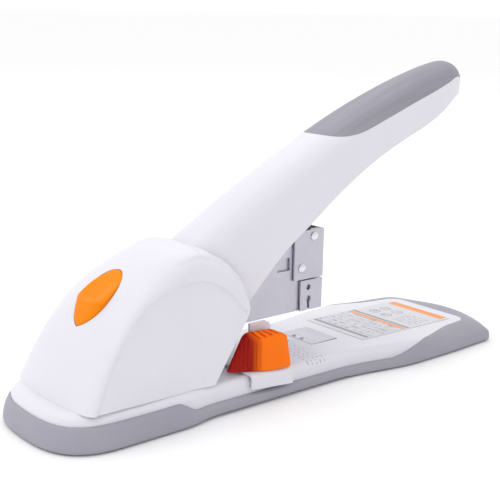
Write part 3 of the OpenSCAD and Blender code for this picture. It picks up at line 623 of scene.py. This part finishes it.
def leafHalf(s):
    # Half width of the button along its length: round at the top end, narrower at the bottom end
    return (1 - np.abs(s) ** 2.2) ** np.interp(s, [-1, -0.4, 0.4, 1], [0.74, 0.70, 0.56, 0.54])


def leafOutline(grow, count=64):
    turn = np.linspace(0, 2 * np.pi, count, endpoint=False)
    s = np.cos(turn)
    half = (button["half"] + grow) * leafHalf(s) * np.sign(np.sin(turn))
    return s * (buttonFrame()[3] + grow), half


def placeOnSlope(s, y, out):
    # From places along, across and out of the slope to (d, y, z)
    mid, along, normal = buttonFrame()[:3]
    slopeD = mid[0] + s * along[0] + out * normal[0]
    slopeZ = mid[1] + s * along[1] + out * normal[1]
    return np.stack([slopeD, y, slopeZ], -1)


def slopePrism(name, grow, low, high):
    s, y = leafOutline(grow)
    rings = [placeOnSlope(s * k, y * k, np.full(len(s), h)) for h,
             k in ((low, 0), (low, 1), (high, 1), (high, 0))]
    return makePiece(name, [(np.stack(rings), False, True, None)], 30)


def domeHeight(s):
    # How far the cover's middle line stands out above the straight line between the button's ends
    mid, along, normal, reach = buttonFrame()
    rel = coverOutline - mid
    t, out = rel @ along, rel @ normal
    near = (np.abs(t) < reach + 6) & (out > -4)
    order = np.argsort(t[near])
    return np.interp(s, t[near][order], out[near][order])


shell = coverShell()
carve(shell, slopePrism("hole", button["gap"], -14, 20))
tidyMesh(shell, 38, (60, 0, 40))
soften(shell, 0.35, 2, 50)
finishPiece(shell, "base", whiteShell, "white_shell", "rear_cover")


# Release button

def releaseButton():
    # Cap over the leaf: a ledge at two fifths of the way up,
    # a steep face below it, a ribbed thumb hollow above
    reach = buttonFrame()[3]
    s = np.sin(np.linspace(-np.pi / 2, np.pi / 2, 130)) * 0.997
    t = np.sin(np.linspace(-np.pi / 2, np.pi / 2, 45))
    across = (button["half"] * leafHalf(s))[:, None] * t[None, :]
    bend = s[:, None] - 0.2 * (across / button["half"]) ** 2
    high = button["crest"]
    ledge = np.interp(bend, [-1.2, -0.97, -0.52, -0.42, -0.36, -0.31, -0.1, 0.3, 0.6, 0.9, 1.1],
                      [0.1, 0.2, 0.72 * high, 0.95 * high, high, 0.97 * high, 0.72 * high, 0.4 * high,
                       0.2 * high, 0.3, 0.2])
    weight = np.array([1, 2, 3, 2, 1]) / 9
    ledge = sum(w * np.roll(ledge, k - 2, 0) for k, w in enumerate(weight))
    ledge[:3], ledge[-3:] = 0.2, 0.2
    hollow = smooth((bend + 0.33) / 0.22) * smooth((0.95 - bend) / 0.6)
    dish = -1.3 * hollow * np.clip(1 - (across / 9.0) ** 2, 0, 1)
    ribs = 0.2 * np.clip(np.cos(across * 2 * np.pi / 1.8), 0, 1) * (np.abs(across) < 4.6)
    ribs = ribs * smooth((bend + 0.26) / 0.05) * smooth((0.06 - bend) / 0.06)
    edge = (0.5 + 0.22 * ledge) * np.abs(t)[None, :] ** 8
    height = domeHeight(s * reach)[:, None] + ledge + dish + ribs - 0.007 * across ** 2 - edge
    along = s[:, None] * reach + 0 * across
    top = placeOnSlope(along, across, height)
    skirt = placeOnSlope(along, across, np.full(across.shape, -2.4))
    sides = [(np.stack([top[:, k], skirt[:, k]], 1), False, False, None) for k in (0, -1)]
    ends = [(np.stack([top[k], skirt[k]], 1), False, False, None) for k in (0, -1)]
    return makePiece("release_button_cap", [(top, False, False, None),
                                            (skirt, False, False, None)] + sides + ends, 50)


cap = releaseButton()
finishPiece(cap, "button", buttonOrange, "orange_button", "release_button")
# the CAD button's stem stays inside the cover, so a plain round stem is made for the cap
turn = np.linspace(0, 2 * np.pi, 25)[:-1]
levels = [(-2.2, 0.0), (-2.2, 1.0), (-11.3, 1.0), (-11.3, 0.0)]
rings = [placeOnSlope(2.5 * k * np.cos(turn), 2.5 * k * np.sin(turn), np.full(24, h)) for h, k in levels]
stem = makePiece("release_button_stem", [(np.stack(rings), False, True, None)], 30)
finishPiece(stem, "button", buttonOrange, "orange_button")


# Handle

handle = {"wall": 2.0, "gripStart": 0.50}
handleTop = [(50, 56), (58, 64.5), (66, 69.4), (75, 73.0), (84, 77.2), (97, 86.0), (114, 95.7), (132, 105.4),
             (153, 116.4), (175, 127.0), (197, 137.0), (217, 145.2), (238, 152.7), (257, 158.6), (270, 161.8),
             (278, 162.8), (284.4, 160.4), (288.2, 154.2), (289.0, 147.6)]
handleLow = [(60, 44), (60.5, 34), (66, 26), (76, 21.5), (90, 24), (102, 31.5), (113, 42.5), (125, 54.8),
             (142, 70.4), (160, 82.6), (180, 96.0), (203, 109.4), (226, 119.6), (250, 128.4), (266, 136.0),
             (276, 142.4), (283.5, 144.6), (287.6, 145.6), (289.0, 146.8)]
handleHalf = [18.4, 18.4, 18.4, 18.4, 18.4, 18.4, 18.4, 18.4, 18.3, 18.0, 17.4, 16.9, 16.3, 15.3, 14.2,
              12.6, 9.6, 4.6, 0.05]


def handleSection(s, t, lift=0.0):
    # s runs along the handle, t from the middle of the top (0) round the round top and down the wall (1)
    top, low, half = spline(handleTop, s), spline(handleLow, s), spline(handleHalf, s)[:, 0]
    down = low - top
    height = np.hypot(down[:, 0], down[:, 1])
    down = down / height[:, None]
    half = np.maximum(half, 0.02)
    dome = np.minimum(half * 0.92, height * 0.9)
    arc = np.pi / 2 * (half + dome) / 2
    whole = arc + height - dome
    run = t * whole[:, None]
    onArc = np.minimum(run / arc[:, None], 1) * np.pi / 2
    y = (half + lift)[:, None] * np.sin(onArc)
    drop = dome[:, None] * (1 - np.cos(onArc)) + np.maximum(run - arc[:, None], 0) - lift * np.cos(onArc)
    return np.stack([top[:, :1] + drop * down[:, :1], -y, top[:, 1:] + drop * down[:, 1:]], -1)


def gripEdge(s):
    # Where the inlay ends on the side: a quick round start, deepest a third of the way, up to the tip
    u = np.clip((s - handle["gripStart"]) / (1 - handle["gripStart"]), 0, 1)
    start = (1 - (1 - np.clip(u / 0.34, 0, 1)) ** 2.6) ** (1 / 1.9)
    late = np.interp(u, [0, 0.25, 0.5, 0.75, 0.9, 1], [0.46, 0.50, 0.54, 0.58, 0.64, 0.80])
    return start * late


def mirrored(points):
    # One side's columns, joined to the same columns on the other side
    other = points[:, ::-1].copy()
    other[..., 1] *= -1
    return np.concatenate([other[:, :-1], points], 1)


def handleShell():
    start = handle["gripStart"]
    sBack = np.linspace(0, start, 90)
    tBack = np.linspace(0, 1, 26)[None, :] * np.ones((len(sBack), 1))
    back = mirrored(handleSection(sBack, tBack))
    grids = [(back, False, False, None)]
    sFront = start + (1 - start) * np.linspace(0, 1, 150) ** 1.35
    edge = gripEdge(sFront)[:, None]
    t = edge + (1 - edge) * np.linspace(0, 1, 26)[None, :]
    side = handleSection(sFront, t)
    other = side.copy()
    other[..., 1] *= -1
    grids += [(side, False, False, None), (other, False, False, None)]
    piece = makePiece("handle_shell_skin", grids, 60, (170, 0, 70))
    thicken(piece, handle["wall"])
    return piece


def gripInlay():
    start = handle["gripStart"]
    s = start + (1 - start) * np.linspace(0, 1, 150) ** 1.35
    edge = gripEdge(s)[:, None]
    across = np.linspace(0, 1, 22)[None, :]
    skin = handleSection(s, edge * across, 0.12)
    whole = mirrored(skin)
    piece = makePiece("grip_inlay", [(whole, False, False, None)], 60, (220, 0, 60))
    thicken(piece, 2.2)
    return piece


skin = handleShell()
bake(skin)
tidyMesh(skin, 50)
soften(skin, 0.3, 2, 60)
finishPiece(skin, "handle", whiteShell, "white_shell", "handle_shell")
inlay = gripInlay()
bake(inlay)
tidyMesh(inlay, 50)
finishPiece(inlay, "handle", gripSkin, "grey_grip", "grip_insert")


# Base

base = {"rearHalf": 38.5, "waistHalf": 36.0, "wideHalf": 43.28, "frontHalf": 41.7, "rearDepth": 34.0,
        "frontDepth": 4.5,
        "bow": 7.5, "plateFront": 279.5, "plateCorner": 8.0}


def deckZ(d):
    # The deck is one plane that falls slowly to the front
    return 17.2 - 0.0191 * d


def baseHalf(d):
    waist = mix(base["rearHalf"], base["waistHalf"], smooth((d - 66) / 20))
    wide = mix(waist, base["wideHalf"], smooth((d - 170) / 52))
    return mix(wide, base["frontHalf"], smooth((d - 245) / 45))


def baseOutline(count=340):
    # Rear end as a power curve, sides by half width, front bowed with round corners; equal steps along it
    t = np.linspace(0, 1, 60)
    share = np.sin(t * np.pi / 2)
    rearPart = np.column_stack([base["rearDepth"] * (1 - (1 - share ** 2.8) ** (1 / 2.8)),
                                base["rearHalf"] * share])
    d = np.linspace(base["rearDepth"] + 2, baseLength - base["frontDepth"] - base["bow"] - 1, 160)
    sidePart = np.column_stack([d, baseHalf(d)])
    q = np.sqrt(np.clip(1 - share ** 2, 0, 1))
    frontPart = np.column_stack([baseLength - base["frontDepth"]
                                 * (1 - (1 - q ** 3) ** (1 / 3)) - base["bow"] * q ** 2,
                                 base["frontHalf"] * q])
    line = np.vstack([rearPart, sidePart, frontPart])
    step = np.hypot(*np.diff(line, axis=0).T)
    line = line[np.concatenate([[True], step > 1e-6])]
    run = np.concatenate([[0], np.cumsum(np.hypot(*np.diff(line, axis=0).T))])
    at = np.linspace(0, run[-1], count)
    return np.column_stack([np.interp(at, run, line[:, 0]), np.interp(at, run, line[:, 1])])


def insetNormals(line):
    # Unit directions pointing into the outline
    along = np.gradient(line, axis=0)
    along[0], along[-1] = (0, 1), (0, -1)
    along /= np.hypot(along[:, 0], along[:, 1])[:, None]
    return np.column_stack([along[:, 1], -along[:, 0]])


def trayInner(d):
    # Height of the tray's inner edge: high round the rear, an S down to the waist, a wave up on to the deck
    z = mix(12.3, 6.9, smooth((d - 62) / 14)) + 0.45 * np.exp(-((d - 61) / 6.0) ** 2)
    z = z - 0.9 * smooth((d - 80) / 120)
    z = mix(z, 13.0, smooth((d - 202) / 32))
    return np.where(d > 232, np.minimum(z, deckZ(d) + 0.15),
                    np.minimum(z, deckZ(d) - 0.1 + 4 * smooth((d - 225) / 8)))


def trayOuter(d, y):
    # Height of its outer shoulder
    z = trayInner(d) - 0.5 - 1.2 * smooth((d - 205) / 30)
    z = mix(z, 8.4, smooth((d - 214) / 22))
    front = 10.2 - 3.4 * np.clip(np.abs(y) / 37, 0, 1) ** 2
    return mix(z, front, smooth((d - 262) / 26))


def borderWidth(d, y):
    # How far the white plate's edge stands in from the outline
    side = mix(mix(3.9, 3.0, smooth((d - 30) / 40)), 12.2, smooth((d - 222) / 42))
    return mix(side, 14.0, smooth((d - 264) / 18))


def plateEdge(line):
    # The plate's edge: the outline moved inwards, cut off square across the front with round corners
    inside = line + insetNormals(line) * borderWidth(line[:, 0], line[:, 1])[:, None]
    return clipFront(inside, base["plateFront"], base["plateCorner"])


def clipFront(points, front, corner):
    # Points past the front line slide back on to it; the corner is an arc
    d, y = points[:, 0].copy(), points[:, 1].copy()
    half = np.interp(front - corner, d[: np.argmax(d)], y[: np.argmax(d)])
    over = d > front - corner
    angle = np.linspace(0, 1, over.sum())
    total = corner * np.pi / 2 + (half - corner)
    run = angle * total
    onArc = np.clip(run / (corner * np.pi / 2), 0, 1) * np.pi / 2
    d[over] = front - corner + corner * np.sin(onArc)
    y[over] = half - corner + corner * np.cos(onArc) - np.maximum(run - corner * np.pi / 2, 0)
    return np.column_stack([d, np.maximum(y, 0)])


def bothSides(rings):
    # Rings of (points along, profile, 3) for one side, closed round the other side
    rings = np.asarray(rings).transpose(1, 0, 2)
    other = rings[::-1].copy()
    other[..., 1] *= -1
    return np.concatenate([rings, other[1:-1]], 0)


def ring(plan, z):
    return np.column_stack([plan, np.broadcast_to(z, len(plan))])


def trayPiece():
    line = baseOutline()
    into = insetNormals(line)
    d, y = line[:, 0], line[:, 1]
    inner, outer = trayInner(d), trayOuter(d, y)
    edge = plateEdge(line)
    lean = 1.9 * smooth((40 - d) / 40) + 0.5
    step = 0.8 * smooth((178 - d) / 10) * smooth((d - 60) / 30)
    rings = []
    for k in (0.0, 0.5, 0.93):
        rings.append(ring(np.column_stack([line[:, 0] + into[:, 0] * 2.4,
                                           (line[:, 1] + into[:, 1] * 2.4) * k]), 0.62))
    for a in np.linspace(0, 1, 5):
        turn = a * np.pi / 2
        inset = 1.6 * (1 - np.sin(turn)) + step * 0.3
        rings.append(ring(line + into * inset[:, None], 0.62 + 1.5 * (1 - np.cos(turn)) + step * 0.6))
    for a in np.linspace(0.15, 1, 8):
        shift = step * 0.3 * (1 - a) + lean * a ** 2
        rings.append(ring(line + into * shift[:, None], mix(2.1 + step * 0.6, outer - 0.9, a)))
    shoulder = line + into * lean[:, None]
    for a in np.linspace(0.12, 1, 9):
        turn = a * np.pi / 2
        place = mix(shoulder, edge, a ** 1.25)
        z = mix(outer - 0.9, inner, np.sin(turn))
        rings.append(ring(place, z))
    rings.append(ring(edge + into * 0.15, inner - 0.25))
    rings.append(ring(edge + into * 0.2, np.full(len(d), 3.0)))
    return makePiece("tray_bumper", [(bothSides(rings), True, False, None)], 45, (148, 0, 6))


def platePiece():
    # White cover of the base: a rounded rim, then one flat deck
    line = baseOutline()
    edge = plateEdge(line)
    d = edge[:, 0]
    inner = trayInner(line[:, 0])
    top = deckZ(d)
    rim = mix(mix(5.2, 3.6, smooth((d - 20) / 50)), 0.5, smooth((d - 226) / 34))
    rise = np.minimum(mix(4.0, 0.45, smooth((d - 224) / 34)), top - inner + 1.0)
    step = np.column_stack([np.gradient(edge[:, 0]), np.gradient(edge[:, 1])])
    step[0], step[-1] = (0, 1), (0, -1)
    step /= np.maximum(np.hypot(step[:, 0], step[:, 1]), 1e-9)[:, None]
    inEdge = np.column_stack([step[:, 1], -step[:, 0]])
    rings = [ring(edge + inEdge * 0.1, np.full(len(d), 3.2)), ring(edge + inEdge * 0.12, inner - 0.4),
             ring(edge + inEdge * 0.16, np.minimum(inner + 0.2, top - rise))]
    for a in np.linspace(0, 1, 9):
        turn = a * np.pi / 2
        shift = (0.18 + rim * (1 - np.cos(turn)))[:, None]
        place = edge + inEdge * shift
        rings.append(ring(place, np.maximum(mix(top - rise, top, np.sin(turn)),
                                            np.minimum(inner + 0.2, top))))
    last = edge + inEdge * (0.18 + rim)[:, None]
    middle = np.clip(last[:, 0], 45, 245)
    for k in (0.92, 0.7, 0.35, 0.0):
        plan = np.column_stack([mix(middle, last[:, 0], k), last[:, 1] * k])
        rings.append(ring(plan, deckZ(plan[:, 0])))
    rings = [np.column_stack([r[:, 0], np.maximum(r[:, 1], 0), r[:, 2]]) for r in rings]
    piece = makePiece("base_cover_shell", [(bothSides(rings), True, False, None)], 40, (148, 0, 0))
    thicken(piece, 1.4)
    bake(piece)
    carve(piece, boxAt("well", (29, -14.6, 0), (90.5, 14.6, 30)))
    anvilLow, anvilHigh = np.array(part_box("anvil_plate")) / mm
    carve(piece, boxAt("pocket", (anvilLow[0] - rear - 0.15, anvilLow[1] - 0.15, anvilLow[2] - 0.2),
                       (anvilHigh[0] - rear + 0.15, anvilHigh[1] + 0.15, 30)))
    tidyMesh(piece, 40)
    return piece


tray = trayPiece()
finishPiece(tray, "base", trayGrey, "grey_tray", "bottom_tray")
plate = platePiece()
finishPiece(plate, "base", deckWhite, "white_shell", "base_cover")


# Paper guide

guide = {"rear": 107.0, "front": 132.0, "top": 16.7, "sideOut": 37.6, "low": 7.8, "flare": 2.4}


def guideSaddle():
    # A strip bent over the deck; its side flaps stand further out towards the front
    d = np.linspace(guide["rear"], guide["front"], 14)
    out = guide["sideOut"] - guide["flare"] * ((guide["front"] - d) / 25) ** 1.5
    low = guide["low"] + 1.2 * (guide["front"] - d) / 25
    a, r, top = np.linspace(0, np.pi / 2, 9), 3.0, guide["top"]
    rings = []
    for x, o, l in zip(d, out, low):
        half = np.vstack([[(o, l)], np.column_stack([o - r + r * np.cos(a), top - r + r * np.sin(a)]),
                          [(0.0, top)]])
        section = np.vstack([half, np.column_stack([-half[::-1, 0], half[::-1, 1]])[1:]])
        rings.append(np.column_stack([np.full(len(section), x), section]))
    piece = makePiece("guide_saddle", [(np.stack(rings), False, False, None)], 40, (120, 0, 0))
    thicken(piece, 1.5)
    bake(piece)
    tidyMesh(piece, 40)
    soften(piece, 0.4, 3, 40)
    return piece


def guidePost():
    # Upright fin that the button slides on, its front corner cut to a slope
    side = [(116.0, 16.0), (132.0, 16.0), (131.6, 30.0), (129.0, 36.6), (126.0, 38.0), (116.0, 38.0)]
    o = np.array(side)
    mid = o.mean(0)
    rings = []
    for y, k in ((-22.0, 0.0), (-22.0, 1.0), (-20.4, 1.0), (-20.4, 0.0)):
        p = mid + (o - mid) * k
        rings.append(np.column_stack([p[:, 0], np.full(len(p), y), p[:, 1]]))
    piece = makePiece("guide_post", [(np.stack(rings), False, True, None)], 30)
    soften(piece, 0.5, 3, 40)
    return piece


def closedCurve(knots, count):
    # Smooth closed line through corner points, the same number of steps for each side
    k = np.asarray(knots, float)
    around = np.vstack([k[-2:], k, k[:3]])
    t = (np.linspace(0, len(k), count, endpoint=False) + 2) / (len(around) - 1)
    return spline(around, t)


def guideButton():
    # Tapered block lofted in height: bowed near face,
    # fluted slanting rear corner, top that rises to the far side
    foot = [(131.0, -30), (131.2, -35.4), (130.0, -37.2), (124, -37.1), (116.5, -35.2), (111.8, -32.6),
            (105.6, -29.2),
            (99.4, -26.2), (99.8, -24.4), (108, -24.1), (122, -24.1), (130.2, -24.2)]
    crown = [(128.7, -30), (128.8, -34.6), (127.6, -36.1), (122, -36.0), (115.4, -34.7), (111.3, -32.7),
             (109.4, -28.6),
             (109.3, -25.6), (110.2, -24.5), (114, -24.4), (121, -24.4), (127.9, -24.5)]
    a, b = closedCurve(foot, 180), closedCurve(crown, 180)
    heights = [0.0, 0.0, 0.012, 0.04, 0.1, 0.2, 0.35, 0.5, 0.65, 0.78, 0.86, 0.90, 0.935, 0.965, 0.988,
               1.0, 1.0]
    insets = [1.0, 0.05, 0.02, 0, 0, 0, 0, 0, 0, 0, 0, 0.008, 0.03, 0.065, 0.12, 0.19, 1.0]
    rings = []
    for h, inset in zip(heights, insets):
        plan = mix(a, b, h)
        mid = plan.mean(0)
        corner = smooth((115.5 - plan[:, 0]) / 3) * smooth((-24.8 - plan[:, 1]) / 1.5)
        flute = 0.5 * corner * np.clip(np.cos((plan[:, 1] - plan[:, 0]) * 2 * np.pi / 2.9), -0.6,
                                       1) * (0.06 < h < 0.93)
        out = (plan - mid) / np.hypot(*(plan - mid).T)[:, None]
        plan = plan + out * flute[:, None]
        ahead, across = plan[:, 0] - 109, plan[:, 1] + 34
        roof = 33.3 + 0.05 * ahead + across * (0.23 - 0.012 * ahead)
        plan = mid + (plan - mid) * (1 - inset)
        rings.append(np.column_stack([plan, 16.95 + h * ((roof if inset < 1 else roof.mean()) - 16.95)
                                      + 0 * roof]))
    piece = makePiece("guide_button_cap", [(np.stack(rings), False, True, None)], 45)
    for x in (113.4, 117.2, 121.0, 124.8):
        slot = boxAt("slot", (-0.85, -4.0, -1.1), (0.85, 4.2, 6))
        slot.data.transform(Matrix.Translation(((-rear) * mm, 0, 0)))
        slot.data.transform(Matrix.Rotation(math.atan(0.23 - 0.012 * (x - 109)), 4, "X"))
        slot.data.transform(Matrix.Translation(((x + rear) * mm, -29.2 * mm, (34.5 - 0.01 * (x - 109)) * mm)))
        carve(piece, slot)
    tidyMesh(piece, 40)
    return piece


pad = mergedCopy("guide_pad")
pad.data.transform(Matrix.Diagonal((1, 0.937, 1, 1)))
finishPiece(pad, "guide", blackPlastic, "black_plastic", "guide_pad")
saddle = guideSaddle()
finishPiece(saddle, "guide", whiteShell, "white_shell", "guide_carriage")
post = guidePost()
finishPiece(post, "guide", whiteShell, "white_shell")
lockCap = guideButton()
finishPiece(lockCap, "guide_lock", guideOrange, "red_orange", "guide_button")


# Sheet steel with softened edges

def sheetSteel(name, body, width, slotName="zinc_steel", finish=None):
    piece = mergedCopy(name)
    soften(piece, width, 2, 40)
    finishPiece(piece, body, finish or zincSteel, slotName, name)


def underShell(piece, depth):
    # Trimmed to stay this far below the handle's top line
    t = np.linspace(0, 1, 60)
    line = spline(handleTop, t)
    low = line - (0, depth)
    outline = np.vstack([low, line[::-1] + (0, 60), [(20, 160), (20, low[0, 1])]])
    rings = []
    for y, k in ((-30, 0.0), (-30, 1.0), (30, 1.0), (30, 0.0)):
        p = outline.mean(0) + (outline - outline.mean(0)) * k
        rings.append(np.column_stack([p[:, 0], np.full(len(p), float(y)), p[:, 1]]))
    carve(piece, makePiece("trim", [(np.stack(rings), False, True, None)], 30))


sheetSteel("front_cover", "head", 0.35)
sheetSteel("head_frame", "head", 0.2)
sheetSteel("nose_plate", "rail", 0.3)
core = mergedCopy("lever_core")
underShell(core, 13.5)
tidyMesh(core, 30)
finishPiece(core, "handle", zincSteel, "zinc_steel", "lever_core")


def domeHead(centre, side, radius, height):
    # Rivet head: a flat cap that rounds down to the sheet
    a = np.linspace(0, np.pi / 2, 9)
    r, out = radius * np.sin(a), height * np.cos(a) ** 0.7
    turn = np.linspace(0, 2 * np.pi, 33)[:-1]
    d = centre[0] + r[:, None] * np.cos(turn)[None, :]
    z = centre[1] + r[:, None] * np.sin(turn)[None, :]
    return np.stack([d, side * (10.45 + out[:, None] + 0 * d), z], -1)


def rivets():
    grids = []
    for centre in ((161.0, 57.2), (169.4, 73.8)):
        for side in (-1, 1):
            head = domeHead(centre, side, 2.6, 1.15)
            back = head[-1:] * (1, 0, 1) + (0, side * 8.0, 0)
            flat = np.concatenate([back, back.mean(1, keepdims=True) + 0 * back])
            grids.append((np.concatenate([head, flat]), False, True, None))
    return makePiece("rivet_heads", grids, 50)


heads = rivets()
finishPiece(heads, "head", brightSteel, "bright_steel", "cover_rivets")


def windowBacking():
    # The inner skin seen through the side windows of the head
    grids = []
    for side in (-1, 1):
        box = [(143.5, 55.6), (155.2, 55.6), (155.2, 65.4), (143.5, 65.4)]
        o = np.array(box)
        rings = []
        for y, k in ((7.0, 0.0), (7.0, 1.0), (7.6, 1.0), (7.6, 0.0)):
            p = o.mean(0) + (o - o.mean(0)) * k
            rings.append(np.column_stack([p[:, 0], np.full(4, side * y), p[:, 1]]))
        grids.append((np.stack(rings), False, True, None))
    return makePiece("head_frame_backing", grids, 30)


backing = windowBacking()
finishPiece(backing, "head", zincSteel, "zinc_steel")


sheetSteel("driver_blade", "driver", 0.12, "tool_steel", toolSteel)


def shortSpring(share):
    # The lever's spring drawn at its pressed length, so that it never meets the handle's skin
    piece = mergedCopy("lever_spring")
    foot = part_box("lever_spring")[0][2]
    lift = Matrix.Translation((0, 0, foot))
    piece.data.transform(lift @ Matrix.Diagonal((1, 1, share, 1)) @ lift.inverted())
    return piece


finishPiece(shortSpring(0.8), "head", springWire, "spring_wire", "lever_spring")


# Floor, light and camera

def studio():
    floorMesh = bpy.data.meshes.new("floor")
    r = 60.0
    floorMesh.from_pydata([(-r, -r, 0), (r, -r, 0), (r, r, 0), (-r, r, 0)], [], [(0, 1, 2, 3)])
    floor = bpy.data.objects.new("floor", floorMesh)
    bpy.context.scene.collection.objects.link(floor)
    paint = Paint("floor_paper", Specular_IOR_Level=0.1)
    paint.link("Base Color", paint.blend(paint.noise(3, 2), (0.955, 0.955, 0.955), (0.965, 0.965, 0.965)))
    paint.link("Roughness", 0.9)
    floorMesh.materials.append(paint.material)
    world = bpy.data.worlds.new("studio")
    world.use_nodes = True
    # white ahead of the camera and overhead, a little darker behind it
    tree, back = world.node_tree, world.node_tree.nodes["Background"]
    back.inputs["Color"].default_value = (1.0, 1.0, 1.0, 1)
    where, dot = tree.nodes.new("ShaderNodeTexCoord"), tree.nodes.new("ShaderNodeVectorMath")
    level = tree.nodes.new("ShaderNodeMapRange")
    dot.operation = "DOT_PRODUCT"
    dot.inputs[1].default_value = (0.30, 0.95, 0.1)
    for index, value in enumerate((-0.75, 0.3, 0.86, 1.09), 1):
        level.inputs[index].default_value = value
    tree.links.new(where.outputs["Generated"], dot.inputs[0])
    tree.links.new(dot.outputs["Value"], level.inputs[0])
    tree.links.new(level.outputs[0], back.inputs["Strength"])
    bpy.context.scene.world = world
    lamps = [((-0.8, 0.2, 1.5), 1.2, 5.0), ((0.6, 0.6, 1.4), 1.2, 3.0)]
    for number, (place, size, power) in enumerate(lamps):
        data = bpy.data.lights.new(f"softbox_{number}", "AREA")
        data.size, data.energy = size, power
        lamp = bpy.data.objects.new(f"softbox_{number}", data)
        lamp.location = place
        lamp.rotation_euler = (Vector((0, 0, 0.06)) - Vector(place)).to_track_quat("-Z", "Y").to_euler()
        bpy.context.scene.collection.objects.link(lamp)


def camera():
    # Looks forward and to the left across the stapler from behind its right side, a little from above
    turn, tilt, roll = math.radians(39.93), math.radians(13.38), math.radians(0.89)
    right = Vector((math.cos(turn), -math.sin(turn), 0))
    level = Vector((math.sin(turn), math.cos(turn), 0))
    ahead = level * math.cos(tilt) - Vector((0, 0, 1)) * math.sin(tilt)
    up = level * math.sin(tilt) + Vector((0, 0, 1)) * math.cos(tilt)
    side = right * math.cos(roll) + up * math.sin(roll)
    top = up * math.cos(roll) - right * math.sin(roll)
    data = bpy.data.cameras.new("camera")
    data.lens, data.sensor_width, data.clip_end = 73.07, 36.0, 50
    view = bpy.data.objects.new("camera", data)
    turned = Matrix((side, top, -ahead)).transposed().to_4x4()
    view.matrix_world = Matrix.Translation(Vector((-0.34344, -0.39267, 0.19093))) @ turned
    bpy.context.scene.collection.objects.link(view)
    bpy.context.scene.camera = view


studio()
camera()
bpy.context.scene.view_settings.view_transform = "Standard"
print("stage set")
